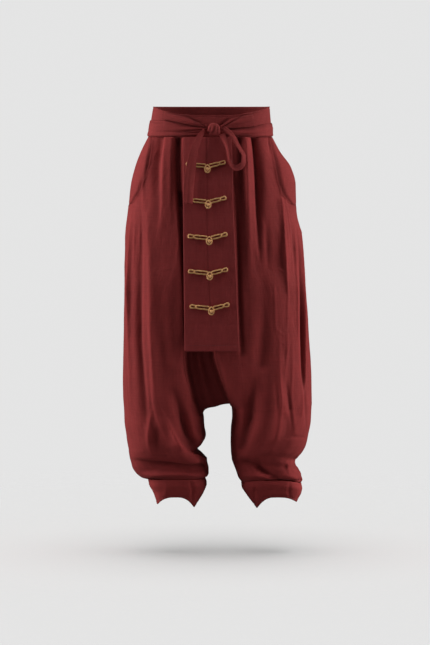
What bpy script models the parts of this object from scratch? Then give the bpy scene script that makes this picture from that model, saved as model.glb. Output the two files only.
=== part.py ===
"""Harem trousers with a tie sash, an apron panel and cord frog fastenings.

Metres, +Z up, the front faces -Y. Left and right are as seen from the front.
The origin is the middle of the waistband ring. Sizes below are in millimetres.
"""
import math

import bmesh
import bpy
import numpy as np

MM = 0.001

# Walls and clearances
CLOTH = 2.0
BAND_WALL = 3.0
SASH_WALL = 2.0
APRON_WALL = 3.0
CUFF_WALL = 2.4
FACING_WALL = 1.4
SEAM_GAP = 0.3
LAYER_GAP = 0.4
FACING_GAP = 2.6

# Overall form
SECTION_POWER = 3.0
BAND_TOP = 35.5
BAND_BOTTOM = -35.0
FRONT_DIP = 21.0
SEAM_Z = BAND_BOTTOM - SEAM_GAP
APRON_HEM_Z = -533.0

# Grid counts
FRONT_COLUMNS = 19
BACK_COLUMNS = 12
ROW_STEP = 33.0
CUFF_COLUMNS = 12
BAND_COLUMNS = 26
GUSSET_COLUMNS = 6
APRON_COLUMNS = 6
APRON_ROWS = 15
FACING_COLUMNS = 5
FACING_ROWS = 15
FOLD_WEIGHT = 2.8
RING_SAMPLES = 161
EDGE_DRAW = 0.5

# A leg section is a closed ring through an outer, a front, an inner and a back point.
# cut says where the centre seam or gusset crosses it: 0 at its middle, 1 at its inner end.
SECTION = ("z_out", "x_out", "z_in", "x_in", "z_front", "y_front", "z_back", "y_back", "cut")
Z_OUT, X_OUT, Z_IN, X_IN, Z_FRONT, Y_FRONT, Z_BACK, Y_BACK, CUT = range(len(SECTION))
LEFT_LEG = (
    (-35.3, -150.3, -35.3, 141.7, -35.3, -98, -35.3, 96, 0.0),
    (-71, -168, -71, 162, -71, -111, -71, 112, 0.0),
    (-109, -182, -109, 178, -109, -122, -109, 127, 0.0),
    (-149, -191.6, -149, 189, -149, -130, -149, 140, 0.0),
    (-200, -197, -200, 197, -200, -136, -200, 151, 0.0),
    (-279, -205, -279, 205, -279, -141, -279, 158, 0.0),
    (-326, -206, -326, 204, -326, -142, -326, 159, 0.0),
    (-374, -206.6, -374, 115, -374, -142, -374, 158, 0.21),
    (-450, -208, -450, 60, -450, -141, -450, 155, 0.33),
    (-545, -209.5, -545, -10, -545, -138, -545, 150, 0.438),
    (-584, -210, -584, -18, -584, -137, -584, 147, 0.535),
    (-618, -210.5, -632, -23, -622, -136, -622, 144, 0.69),
    (-645, -210, -668, -27, -650, -134, -650, 142, 0.84),
    (-662, -209, -687, -24, -670, -132, -670, 140, 0.955),
    (-676, -208, -695, -20, -684, -130, -684, 138, 1.0),
    (-712, -206.5, -722, -18, -714, -126, -716, 134, 1.0),
    (-745, -202, -742, -14.7, -740, -122, -744, 130, 1.0),
    (-762, -199.5, -760, -24, -755, -119, -761, 127, 1.0),
    (-776, -197, -774, -36, -768, -116, -776, 124, 1.0),
    (-788, -195.5, -785, -24, -781, -112, -788, 120, 1.0),
    (-800, -193, -797, -13.5, -793, -104, -800, 113, 1.0),
    (-815, -189, -812, -9.5, -804, -94, -811, 103, 1.0),
    (-831, -179, -827, -8, -814, -89, -822, 96, 1.0),
    (-841, -165, -836, -9.5, -827, -92, -834, 97, 1.0),
    (-843.5, -152, -841, -17, -840, -79, -845, 84, 1.0),
)
RIGHT_LEG = (
    (-35.3, 141.7, -35.3, -150.3, -35.3, -98, -35.3, 96, 0.0),
    (-71, 161, -71, -167, -71, -111, -71, 112, 0.0),
    (-109, 187, -109, -191, -109, -122, -109, 127, 0.0),
    (-149, 197.6, -149, -200.2, -149, -130, -149, 140, 0.0),
    (-200, 198.7, -200, -198.7, -200, -136, -200, 151, 0.0),
    (-279, 213, -279, -213, -279, -141, -279, 158, 0.0),
    (-326, 217, -326, -219, -326, -142, -326, 159, 0.0),
    (-374, 220, -374, -140, -374, -142, -374, 158, 0.21),
    (-450, 226, -450, -105, -450, -141, -450, 155, 0.33),
    (-545, 232, -545, -77, -545, -138, -545, 150, 0.438),
    (-584, 234, -584, -39, -584, -137, -584, 147, 0.574),
    (-615, 235, -627, -2, -618, -135, -618, 144, 0.74),
    (-638, 235.4, -652, 23, -642, -133, -642, 141, 0.87),
    (-655, 235.7, -665, 38, -658, -131, -658, 139, 0.96),
    (-668, 235.7, -672, 46, -672, -129, -672, 137, 1.0),
    (-704, 233.8, -692, 48, -698, -125, -700, 133, 1.0),
    (-738, 228, -725, 45, -730, -121, -733, 129, 1.0),
    (-763, 222.3, -758, 44, -754, -116, -760, 125, 1.0),
    (-783, 211, -778, 45, -772, -112, -778, 121, 1.0),
    (-799, 194, -795, 47, -784, -106, -792, 115, 1.0),
    (-812, 199, -808, 50.5, -796, -99, -805, 109, 1.0),
    (-826, 206.8, -822, 55.6, -808, -92, -816, 101, 1.0),
    (-845, 214, -838, 61, -826, -94, -834, 98, 1.0),
    (-852, 211, -850, 69, -842, -80, -847, 85, 1.0),
)
CROTCH_LIFT = 17.0
CROTCH_PEAK = 0.42
VALLEY_DEPTH = 22.0
VALLEY_RISE = (35.0, 160.0)
VALLEY_RIDGE = (0.46, 0.13, 0.35)
GUSSET_ROW = 6
GUSSET_START = 29.0
CROTCH_ROW = 14

# Cuff sections below the leg's last section, down to the arched hem
LEFT_CUFF = (
    (-856, -149.5, -854, -12.5, -853, -76, -858, 81, 1.0),
    (-874, -140.5, -874, -18.5, -866, -68, -871, 73, 1.0),
    (-890, -134.5, -894, -30, -877, -61, -880, 66, 1.0),
    (-905, -129.7, -912, -42.6, -884, -55, -886, 59, 1.0),
)
RIGHT_CUFF = (
    (-864, 213.5, -862, 70, -855, -77, -860, 82, 1.0),
    (-878, 211.5, -878, 79, -866, -69, -871, 74, 1.0),
    (-889, 206, -896, 92, -877, -62, -880, 67, 1.0),
    (-899, 200.4, -914, 106.7, -884, -55, -886, 59, 1.0),
)

# Largest folds and pleats: the height of a ridge, or depth of a trough, at its start, middle
# and end, and its reach to the left and to the right of its line (a line runs downwards)
FOLD = ("face", "start", "middle", "end", "reach_left", "reach_right", "line")
FOLDS = (
    ("front", 12, 10, 3, 7, 22, ((-111, -38), (-113, -90), (-115, -185), (-119, -290))),
    ("front", -6, -9, -2, 15, 9, ((-125, -50), (-132, -125), (-141, -190), (-146, -250))),
    ("front", -11, -11, -8, 9, 9, ((-84, -38), (-87, -150), (-81, -280), (-75, -420), (-72, -540))),
    ("front", 2, 11, 4, 14, 17, ((-159, -225), (-154, -370), (-153, -470), (-146, -560),
                                 (-139, -640), (-128, -700))),
    ("front", 0, -8, -4, 14, 13, ((-133, -230), (-131, -380), (-122, -520), (-110, -640))),
    ("front", 1, 6, 6, 13, 16, ((-100, -300), (-103, -420), (-96, -540))),
    ("front", 2, 8, 4, 11, 11, ((-137, -690), (-148, -718), (-149, -745), (-141, -778))),
    ("front", 5, 14, 7, 20, 8, ((-103, -702), (-90, -728), (-82, -748), (-68, -772), (-40, -786))),
    ("front", 0, -10, -9, 14, 11, ((-84, -640), (-64, -690), (-54, -735), (-46, -752))),
    ("front", -8, -10, -6, 8, 10, ((61, -40), (62, -180), (63, -370), (67, -540))),
    ("front", 9, 7, 2, 9, 14, ((80, -45), (83, -150), (85, -280), (85, -380))),
    ("front", -13, -10, -3, 7, 12, ((93, -40), (98, -72), (104, -120), (105, -190), (109, -310))),
    ("front", 8, 6, 2, 12, 15, ((121, -45), (126, -150), (131, -260))),
    ("front", 0, -5, -7, 15, 15, ((118, -330), (121, -450), (116, -560))),
    ("front", 4, 9, 2, 10, 12, ((163, -190), (171, -270), (172, -340), (178, -385))),
    ("front", 0, -6, -2, 10, 10, ((186, -240), (192, -300), (198, -370))),
    ("front", 3, 12, 4, 15, 13, ((158, -560), (160, -665), (153, -725), (138, -758))),
    ("front", 1, 8, 2, 9, 10, ((168, -630), (178, -675), (188, -720))),
    ("front", 0, -13, -8, 18, 16, ((107, -600), (92, -690), (74, -745))),
    ("front", -5, -9, -6, 11, 9, ((76, -795), (104, -798), (124, -812), (150, -826))),
    ("front", -1, -8, -4, 8, 11, ((-64, -440), (-65, -535), (-61, -580), (-51, -615), (-43, -649))),
    ("front", -1, -8, -4, 11, 8, ((7, -440), (9, -535), (16, -568), (26, -607), (33, -633))),
    ("front", 1, 8, 3, 15, 13, ((-184, -240), (-188, -400), (-186, -540), (-172, -690))),
    ("front", 1, 9, 3, 14, 15, ((204, -300), (208, -440), (210, -570), (206, -690))),
    ("back", 1, 9, 3, 15, 13, ((-178, -160), (-184, -330), (-184, -520), (-168, -690))),
    ("back", 1, 9, 3, 14, 15, ((182, -150), (196, -330), (202, -520), (200, -680))),
    ("back", -10, -8, -1, 8, 14, ((-118, -38), (-124, -150), (-128, -280))),
    ("back", 10, 7, 1, 13, 10, ((-94, -38), (-99, -170), (-96, -360))),
    ("back", -10, -7, -1, 9, 12, ((-66, -38), (-70, -160), (-66, -320))),
    ("back", 2, 10, 6, 15, 18, ((-142, -240), (-136, -420), (-138, -560), (-130, -690))),
    ("back", 0, -8, -7, 16, 14, ((-98, -420), (-98, -590), (-78, -730))),
    ("back", 3, 12, 8, 10, 18, ((-128, -700), (-104, -742), (-70, -772), (-44, -782))),
    ("back", -10, -7, -1, 9, 12, ((58, -38), (64, -150), (62, -310))),
    ("back", 10, 7, 1, 11, 12, ((86, -38), (92, -180), (96, -370))),
    ("back", -10, -8, -1, 9, 14, ((112, -38), (122, -150), (126, -270))),
    ("back", 2, 10, 5, 17, 15, ((146, -230), (152, -420), (162, -560), (160, -690))),
    ("back", 0, -9, -6, 15, 16, ((116, -440), (112, -620), (94, -740))),
    ("back", 3, 12, 7, 16, 10, ((160, -700), (138, -752), (104, -776), (72, -786))),
)
FOLD_STEPS = 8

# Slanted pocket edges on the front panels, from the waist seam to the side seam
POCKET_EDGE = {
    "left": ((-30, -138), (-60, -141), (-100, -147), (-130, -155), (-161, -167), (-186, -184)),
    "right": ((-30, 133), (-60, 139), (-100, 147), (-141, 154), (-172, 166), (-190, 183)),
}
POCKET_END_Z = -203.0
POCKET_ROWS_TOP = -155.0
POCKET_STEP = 14.0
POCKET_LAP = 11.0
FACING_DEEP = (-166.0, -184.0)
FACING_RISE = (3.0, 17.0)
FACING_SINK = 1.0

# Waistband rings: z, x_left, x_right, y_front, y_back
BAND = (
    (BAND_TOP, -138.5, 136.0, -93, 91),
    (0.0, -144.0, 139.0, -96, 94),
    (BAND_BOTTOM, -150.3, 141.7, -98, 96),
)

# Sash and ties over the waistband: x, z_low, z_high
SASH_LEFT = (
    (-150, -34.4, 4), (-114, -34.4, 3), (-75, -34.0, -4), (-40, -32.5, -11), (-13.4, -31, -15),
)
SASH_RIGHT = (
    (22.6, -31, -17), (45, -32.5, -17), (97, -34.0, -12.5), (125, -34.4, -5), (150, -34.4, -3),
)
TIE_LEFT = ((-114, 4.0, 22), (-71, -3.9, 12), (-40, -10.2, 1), (-13.4, -14.2, -7))
TIE_RIGHT = ((22.6, -16.2, -9), (47, -16.0, 8), (78, -13.0, 15), (97, -11.6, 17))
TIE_ROWS = 4
TIE_FOLD = 2.2
TIE_FOLDS = 2
TIE_Z = -20.0
SASH_LOW = -34.4
SIDE_INSET = 0.0016

# Knot, and the hanging tail and bow loop as straps: x, y, z, width, turn in degrees
KNOT_CENTRE = (4.5, -109.6, -18.5)
KNOT_SIZE = (33.0, 19.0, 30.0)
KNOT_CAGE = 1.5
TAIL = (
    (-17.4, -112.1, -21, 13, 35), (-25, -117, -30, 15, 28), (-33, -121, -43, 17, 20),
    (-41, -129, -66, 19, 12), (-46, -137, -96, 21, 6), (-50, -144, -130, 22, 2),
    (-52, -149.5, -162, 21.5, 0), (-53, -153.5, -190, 21, 0),
)
LOOP = (
    (22.8, -114.6, -29.5, 13, 10), (31, -121, -40, 15, 20), (35, -128, -56, 15, 30),
    (38, -134, -74, 15, 38), (40, -138, -92, 15, 42), (44, -140, -108, 15, 30),
    (54, -141, -116, 15, 10), (67, -140, -112, 15, -20), (75, -138, -98, 14, -40),
    (75, -134, -82, 14, -46), (69, -129, -66, 13, -44), (60, -124, -50, 13, -36),
    (52, -119, -36, 14, -28), (41, -115, -24, 13, -20), (25.6, -111.1, -15, 12, -10),
)
STRAP_WALL = 1.8

# Frog fastenings: button centres on the apron, and where the loops end beside them
FROGS = ((-10.4, -107.6), (-8.8, -190), (-6.3, -274), (-5.1, -355.5), (-1.4, -437))
FROG_RIGHT = (41.0, 14.0)
FROG_LEFT = (-48.0, 9.5)
FROG_START = (8.2, 4.6)
FROG_STRAND = 3.3
FROG_EYE = 4.6
FROG_FLARE = 0.45
CORD = 3.8
BUTTON = 13.5
FROG_POINTS = 6

APRON_EDGES = ((-36, -66, 46), (-121, -67, 48.3), (-197, -67, 50), (-360, -65.5, 57), (-533, -64, 64))
APRON_STAND = ((-36, 0.5), (-60, 3.0), (-110, 7.0), (-200, 8.5), (-533, 9.5))

LINEN = (0.120, 0.016, 0.018)
LINEN_BAND = (0.150, 0.020, 0.022)
LINEN_APRON = (0.098, 0.014, 0.016)
GOLD = (0.36, 0.20, 0.065)


def smooth(edge_low, edge_high, value):
    """Eased step from 0 to 1 between two edges."""
    x = np.clip((value - edge_low) / (edge_high - edge_low), 0.0, 1.0)
    return x * x * (3 - 2 * x)


def read_rows(table, at):
    """Value of a short table of (place, value, ...) rows at a place, in straight steps."""
    rows = sorted(table)
    places = [row[0] for row in rows]
    columns = range(1, len(rows[0]))
    values = [np.interp(at, places, [row[c] for row in rows]) for c in columns]
    return values[0] if len(values) == 1 else values


class Curve:
    """Smooth curve through rows of numbers, by cubic pieces that never overshoot a row."""

    def __init__(self, rows, knots):
        self.rows = np.array(rows, float)
        self.knots = np.array(knots, float)
        steps = np.diff(self.knots)[:, None]
        secant = np.diff(self.rows, axis=0) / steps
        before, after = secant[:-1], secant[1:]
        lean = 3 * (steps[1:] + steps[:-1])
        near, far = 2 * steps[1:] + steps[:-1], steps[1:] + 2 * steps[:-1]
        turns = before * after <= 0
        safe_before, safe_after = np.where(turns, 1.0, before), np.where(turns, 1.0, after)
        inner = np.where(turns, 0.0, lean / (near / safe_before + far / safe_after))
        self.slope = np.vstack([secant[:1], inner, secant[-1:]])

    def at(self, t):
        """Rows at the places t, as an array of one more dimension."""
        t = np.clip(np.asarray(t, float), self.knots[0], self.knots[-1])
        k = np.clip(np.searchsorted(self.knots, t, side="right") - 1, 0, len(self.knots) - 2)
        h = (self.knots[k + 1] - self.knots[k])[..., None]
        x = ((t - self.knots[k])[..., None]) / h
        a, b = self.rows[k], self.rows[k + 1]
        ma, mb = self.slope[k] * h, self.slope[k + 1] * h
        return (a * (2 * x**3 - 3 * x**2 + 1) + ma * (x**3 - 2 * x**2 + x)
                + b * (3 * x**2 - 2 * x**3) + mb * (x**3 - x**2))


def ring_point(row, angle):
    """Point of a section ring: 0 is outer, a quarter turn is front, a half turn is inner."""
    middle, half = row[..., X_OUT], row[..., X_IN]
    c, s = np.cos(angle), np.sin(angle)
    reach = 2 / SECTION_POWER
    x = middle + half * np.sign(c) * np.abs(c) ** reach
    y = np.where(s > 0, row[..., Y_FRONT], row[..., Y_BACK]) * np.abs(s) ** reach
    z = (c * c * np.where(c > 0, row[..., Z_OUT], row[..., Z_IN])
         + s * s * np.where(s > 0, row[..., Z_FRONT], row[..., Z_BACK]))
    return np.stack([x, y, z], axis=-1)


class Tube:
    """A leg or cuff: section rings along its length."""

    def __init__(self, name, table, shared=None):
        self.name = name
        rows = np.array(table, float)
        outer, inner = rows[:, X_OUT].copy(), rows[:, X_IN].copy()
        rows[:, X_OUT], rows[:, X_IN] = (outer + inner) / 2, (outer - inner) / 2
        quarter = np.arange(4) * math.pi / 2
        corners = ring_point(rows[:, None, :], quarter[None, :])
        steps = np.linalg.norm(np.diff(corners, axis=0), axis=2).mean(axis=1)
        if shared is not None:
            steps[:CROTCH_ROW] = shared[:CROTCH_ROW]
        self.steps = steps
        self.knots = np.concatenate([[0.0], np.cumsum(steps)])
        self.curve = Curve(rows, self.knots)
        self.side = -1.0 if name == "left" else 1.0

    def point(self, angle, t):
        """Point of the plain form, without folds."""
        return ring_point(self.curve.at(t), angle)

    def normal(self, angle, t):
        """Outward direction of the plain form."""
        da, dt = 0.02, 1.5
        along = self.point(angle, t + dt) - self.point(angle, t - dt)
        around = self.point(angle + da, t) - self.point(angle - da, t)
        n = np.cross(around, along) * self.side
        n[..., 2] *= smooth(0.0, 30.0, t)
        return n / np.linalg.norm(n, axis=-1, keepdims=True)

    def cut_angle(self, t):
        """Angle at which the centre seam or the gusset crosses the ring."""
        cut = np.clip(self.curve.at(t)[..., CUT], 0.0, 1.0)
        return math.pi / 2 + np.arcsin(cut ** (SECTION_POWER / 2))

    def angle_of_x(self, x, t):
        """Angle of the front half at which the ring has a given x."""
        row = self.curve.at(t)
        share = (x - row[..., X_OUT]) / row[..., X_IN]
        return np.arccos(np.sign(share) * np.clip(np.abs(share), 0.0, 1.0) ** (SECTION_POWER / 2))

    def place_at(self, z):
        """Place along the tube at which its outer seam reaches a height."""
        t = np.arange(0.0, self.knots[-1])
        return float(np.interp(-z, -self.curve.at(t)[:, Z_OUT], t))


LEGS = {"left": Tube("left", LEFT_LEG)}
LEGS["right"] = Tube("right", RIGHT_LEG, LEGS["left"].steps)
CUFFS = {
    "left": Tube("left", LEFT_LEG[-1:] + LEFT_CUFF),
    "right": Tube("right", RIGHT_LEG[-1:] + RIGHT_CUFF),
}


def row_places(tube, step):
    """Places along a tube: each interval of its table in steps of about one length."""
    places = []
    for a, b in zip(tube.knots[:-1], tube.knots[1:]):
        count = max(1, round((b - a) / step))
        places += list(np.linspace(a, b, count, endpoint=False))
    return np.array(places + [tube.knots[-1]])


class Relief:
    """Folds and pleats as ridges and troughs along lines on the plain form."""

    def __init__(self, folds):
        self.lines = [self.trace(dict(zip(FOLD, fold))) for fold in folds]

    def trace(self, fold):
        """Lay a fold's line on the form, as points with normals and directions."""
        knots = np.arange(len(fold["line"]))
        count = FOLD_STEPS * knots[-1] + 1
        flat = Curve(fold["line"], knots).at(np.linspace(0, knots[-1], count))
        tube = LEGS["left" if flat[0, 0] < 0 else "right"]
        facing = 1 if fold["face"] == "front" else -1
        every = np.arange(0.0, tube.knots[-1], 2.0)
        places, angles = np.zeros(count), np.zeros(count)
        for k, (x, z) in enumerate(flat):
            around = tube.angle_of_x(x, every) * facing
            places[k] = np.interp(-z, -tube.point(around, every)[:, 2], every)
            angles[k] = tube.angle_of_x(x, places[k]) * facing
        fold["points"] = tube.point(angles, places)
        fold["normals"] = tube.normal(angles, places)
        fold["along"] = np.gradient(fold["points"], axis=0)
        heights = (fold["start"], fold["middle"], fold["end"])
        fold["height"] = np.interp(np.linspace(0, 2, count), range(len(heights)), heights)
        return fold

    def at(self, points):
        """Height of the folds over points of the plain form."""
        height = np.zeros(points.shape[:-1])
        for fold in self.lines:
            away = points[..., None, :] - fold["points"]
            gap = np.linalg.norm(away, axis=-1)
            k = np.argmin(gap, axis=-1)
            nearest = np.take_along_axis(away, k[..., None, None], axis=-2)[..., 0, :]
            sideways = np.cross(fold["along"][k], fold["normals"][k])
            on_right = np.sum(nearest * sideways, axis=-1) > 0
            if fold["face"] == "back":
                on_right = ~on_right
            reach = np.where(on_right, fold["reach_right"], fold["reach_left"])
            distance = np.min(gap, axis=-1)
            height = height + fold["height"][k] * np.exp(-((distance / reach) ** 2))
        return height


RELIEF = Relief(FOLDS)


def spread(tube, start, end, t, columns):
    """Angles along one ring: closer together on folds, drawn in to the end, and kept off seams."""
    angles = np.linspace(start, 0.0, RING_SAMPLES)
    points = tube.point(angles, np.full(RING_SAMPLES, t))
    steps = np.linalg.norm(np.diff(points, axis=0), axis=1)
    run = np.concatenate([[0.0], np.cumsum(steps)])
    slope = np.abs(np.diff(RELIEF.at(points)))
    weight = np.concatenate([[0.0], np.cumsum(steps + FOLD_WEIGHT * slope)])
    even = np.interp(np.linspace(0, weight[-1], columns + 1), weight, run)
    even_angles = np.interp(even, run, angles)
    near = abs(end + EDGE_DRAW * np.sign(start))
    drawn_in = end + even_angles * EDGE_DRAW / near
    drawn = np.where(np.abs(even_angles) < near, drawn_in, even_angles)
    limit = np.interp(np.abs(end), np.abs(angles[::-1]), run[::-1])
    places = np.interp(-np.abs(drawn), -np.abs(angles), run)
    return np.interp(np.clip(places, SEAM_GAP / 2, limit - SEAM_GAP / 2), run, angles)


def layer(tube, angle, t, out):
    """Points of a leg's folded cloth, moved out from it by a distance."""
    base = tube.point(angle, t)
    normal = tube.normal(angle, t)
    height = RELIEF.at(base) + out
    return base + normal * height[..., None]


def material(name, colour, roughness, metallic=0.0):
    """Plain Principled material."""
    found = bpy.data.materials.get(name)
    if found:
        return found
    made = bpy.data.materials.new(name)
    made.use_nodes = True
    shader = made.node_tree.nodes["Principled BSDF"]
    shader.inputs["Base Color"].default_value = (*colour, 1.0)
    shader.inputs["Roughness"].default_value = roughness
    shader.inputs["Metallic"].default_value = metallic
    return made


def place(name, mesh, finish):
    """Link a mesh as a named object of the garment."""
    mesh.materials.clear()
    mesh.materials.append(finish)
    made = bpy.data.objects.new(name, mesh)
    GARMENT.objects.link(made)
    return made


def cloth_wall(name, outer, inner, finish):
    """Closed wall between two grids of points, in millimetres."""
    rows, columns = outer.shape[:2]
    count = rows * columns
    index = np.arange(count).reshape(rows, columns)
    faces = []
    upper, lower = index[:-1], index[1:]
    for a, b, c, d in zip(upper[:, :-1].flat, upper[:, 1:].flat, lower[:, 1:].flat, lower[:, :-1].flat):
        faces += [(a, b, c, d), (a + count, d + count, c + count, b + count)]
    rim = list(index[0]) + list(index[1:, -1]) + list(index[-1, -2::-1]) + list(index[-2:0:-1, 0])
    for a, b in zip(rim, rim[1:] + rim[:1]):
        faces.append((b, a, a + count, b + count))
    points = np.concatenate([outer.reshape(-1, 3), inner.reshape(-1, 3)]) * MM
    mesh = bpy.data.meshes.new(name)
    mesh.from_pydata(points.tolist(), [], [[int(i) for i in face] for face in faces])
    return finish_wall(name, mesh, finish)


def finish_wall(name, mesh, finish):
    """Turn a closed mesh's faces outwards, smooth it and place it."""
    cage = bmesh.new()
    cage.from_mesh(mesh)
    bmesh.ops.recalc_face_normals(cage, faces=cage.faces)
    cage.to_mesh(mesh)
    cage.free()
    mesh.shade_smooth()
    mesh.set_sharp_from_angle(angle=math.radians(50))
    return place(name, mesh, finish)


def tube_wall(name, tube, places, start, end, columns, wall, finish):
    """Wall over part of a tube; start and end give each row's limiting angles."""
    angles = np.array([spread(tube, start(t), end(t), t, columns) for t in places])
    t = np.repeat(places[:, None], columns + 1, axis=1)
    return cloth_wall(name, layer(tube, angles, t, 0.0), layer(tube, angles, t, -wall), finish)


def pocket_angle(tube, t):
    """Angle of the pocket's slanted edge, or the side seam's where the pocket has ended."""
    z = float(tube.curve.at(t)[Z_OUT])
    edge = POCKET_EDGE[tube.name]
    lowest = edge[-1][0]
    if z < lowest:
        last = pocket_angle(tube, tube.place_at(lowest + 0.5))
        return last * float(1 - smooth(-lowest, -POCKET_END_Z, -z))
    return float(tube.angle_of_x(read_rows(edge, z), t))


def build_legs():
    """Front and back panels of both legs, pleated at the waist seam."""
    finish = material("linen", LINEN, 0.85)
    for name, tube in LEGS.items():
        places = row_places(tube, ROW_STEP)
        pocket = tube.place_at(POCKET_ROWS_TOP), tube.place_at(POCKET_END_Z) + POCKET_STEP
        front_places = np.sort(np.concatenate([places, np.arange(*pocket, POCKET_STEP)]))
        keep = np.concatenate([[True], np.diff(front_places) > POCKET_STEP / 3])
        front_places = front_places[keep]
        tube_wall(f"leg_front_{name}", tube, front_places, lambda t: float(tube.cut_angle(t)),
                  lambda t: pocket_angle(tube, t), FRONT_COLUMNS, CLOTH, finish)
        tube_wall(f"leg_back_{name}", tube, places, lambda t: -float(tube.cut_angle(t)),
                  lambda t: 0.0, BACK_COLUMNS, CLOTH, finish)


def build_facings():
    """Pocket facings, flush at the side seam and tucked behind the slanted front edge."""
    finish = material("linen", LINEN, 0.85)
    for name, tube in LEGS.items():
        places = np.linspace(0.0, tube.place_at(POCKET_END_Z) + POCKET_STEP, FACING_ROWS + 1)
        outer, inner = [], []
        for t in places:
            edge = pocket_angle(tube, t)
            around = float(np.linalg.norm(tube.point(edge, t) - tube.point(edge + 0.05, t))) / 0.05
            lap = POCKET_LAP / around
            angles = np.linspace(SEAM_GAP / 2 / around, edge + lap, FACING_COLUMNS + 1)
            bare = np.maximum(edge - angles, 0.0) * around
            low = smooth(-FACING_DEEP[0], -FACING_DEEP[1], -float(tube.curve.at(t)[Z_OUT]))
            under = np.maximum(1 - smooth(*FACING_RISE, bare), low)
            tuck = (CLOTH + FACING_GAP + FACING_SINK * low) * under
            at = np.full(len(angles), t)
            outer.append(layer(tube, angles, at, -tuck))
            inner.append(layer(tube, angles, at, -tuck - FACING_WALL))
        cloth_wall(f"pocket_facing_{name}", np.array(outer), np.array(inner), finish)


def gusset_rows():
    """Places on both legs, from the gusset's top point to the crotch, as their panels have."""
    places = row_places(LEGS["left"], ROW_STEP)
    knots = LEGS["left"].knots
    top = knots[GUSSET_ROW] + GUSSET_START
    below = places[(places > top + SEAM_GAP) & (places < knots[CROTCH_ROW] + SEAM_GAP)]
    return np.concatenate([[top], below])


def gusset_line(t, facing):
    """One cross line of the gusset between the legs' edges, and how far it sinks in front."""
    ends = []
    for tube in LEGS.values():
        angle = float(tube.cut_angle(t)) * facing
        step = 0.03 * facing
        here = layer(tube, np.array([angle]), np.array([t]), 0.0)[0]
        on = tube.point(np.array([angle + step, angle - step]), np.array([t, t]))
        along = (on[0] - on[1]) / np.linalg.norm(on[0] - on[1])
        ends.append((here, along, np.sin(abs(angle))))
    (a, along_a, open_a), (b, along_b, open_b) = ends
    chord = b - a
    width = np.linalg.norm(chord)
    inset = SEAM_GAP / width if width > 2 * SEAM_GAP else 0.3
    w = np.linspace(inset, 1 - inset, GUSSET_COLUMNS + 1)[:, None]
    pull = width * 1.25 * min(open_a, open_b)
    flat = a * (2 * w**3 - 3 * w**2 + 1) + b * (3 * w**2 - 2 * w**3)
    flat = flat + along_a * pull * (w**3 - 2 * w**2 + w) - along_b * pull * (w**3 - w**2)
    lift = CROTCH_LIFT * (1 - min(open_a, open_b)) * (w / CROTCH_PEAK) * np.exp(1 - w / CROTCH_PEAK)
    flat = flat + np.array([0.0, 0.0, 1.0]) * lift * np.sqrt(1 - w)
    top = LEGS["left"].knots[GUSSET_ROW] + GUSSET_START
    place, reach, height = VALLEY_RIDGE
    rise = smooth(top + VALLEY_RISE[0], top + VALLEY_RISE[1], t) * (facing > 0)
    deep = VALLEY_DEPTH * rise * math.sqrt(max(min(open_a, open_b), 0.0))
    hollow = np.sin(math.pi * w) * (1 - height * np.exp(-(((w - place) / reach) ** 2)))
    return np.array([flat, np.array([0.0, 1.0, 0.0]) * deep * hollow])


def build_gusset():
    """Crotch gusset: a strip down the front, under the crotch and up the back."""
    front = [gusset_line(t, 1) for t in gusset_rows()]
    back = [gusset_line(t, -1) for t in gusset_rows()]
    flat, sink = np.array(front + back[-2::-1]).transpose(1, 0, 2, 3)
    along = np.gradient(flat, axis=0)
    across = np.gradient(flat, axis=1)
    normal = np.cross(along, across)
    normal /= np.linalg.norm(normal, axis=2, keepdims=True)
    normal *= -np.sign(normal[0, 2, 1])
    outer = flat + sink
    cloth_wall("gusset", outer, outer - normal * CLOTH, material("linen", LINEN, 0.85))


def build_cuffs():
    """Tapered cuffs with an arched hem that points down at both sides."""
    finish = material("linen", LINEN, 0.85)
    for name, tube in CUFFS.items():
        places = np.concatenate([[SEAM_GAP], row_places(tube, 14.0)[1:]])
        for face, facing in (("front", 1), ("back", -1)):
            tube_wall(f"cuff_{face}_{name}", tube, places, lambda t: math.pi * facing,
                      lambda t: 0.0, CUFF_COLUMNS, CUFF_WALL, finish)


def band_point(angle, z, out):
    """Point over the waistband: 0 is left, a quarter turn is front."""
    x_left, x_right, y_front, y_back = read_rows(BAND, z)
    c, s = np.cos(angle), np.sin(angle)
    reach = 2 / SECTION_POWER
    half = (x_right - x_left) / 2
    x = (x_left + x_right) / 2 - half * np.sign(c) * np.abs(c) ** reach
    depth = np.where(s > 0, y_front, y_back)
    y = depth * np.abs(s) ** reach
    normal = np.stack([-np.sign(c) * np.abs(c) ** (2 - reach) / half,
                       np.sign(depth) * np.abs(s) ** (2 - reach) / np.abs(depth)], axis=-1)
    normal /= np.linalg.norm(normal, axis=-1, keepdims=True)
    return np.stack([x + normal[..., 0] * out, y + normal[..., 1] * out, z + 0 * x], axis=-1)


def band_angle(x, z):
    """Angle of the waistband's front at a given x."""
    x_left, x_right, _, _ = read_rows(BAND, z)
    share = ((x_left + x_right) / 2 - x) / ((x_right - x_left) / 2)
    c = np.sign(share) * np.clip(np.abs(share), 0, 1) ** (SECTION_POWER / 2)
    return np.arccos(c)


def build_waistband():
    """Waistband in a front and a back half; the front rim dips at its middle."""
    finish = material("linen_band", LINEN_BAND, 0.85)
    for name, facing in (("front", 1), ("back", -1)):
        angles = np.linspace(SIDE_INSET, math.pi - SIDE_INSET, BAND_COLUMNS + 1)
        dip = FRONT_DIP * np.sin(angles) ** 2 * (facing > 0)
        share = np.linspace(0, 1, 4)[:, None]
        z = (BAND_TOP - dip)[None, :] * (1 - share) + BAND_BOTTOM * share
        grid = np.repeat(angles[None, :], 4, axis=0) * facing
        cloth_wall(f"waistband_{name}", band_point(grid, z, 0.0), band_point(grid, z, -BAND_WALL), finish)


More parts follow.
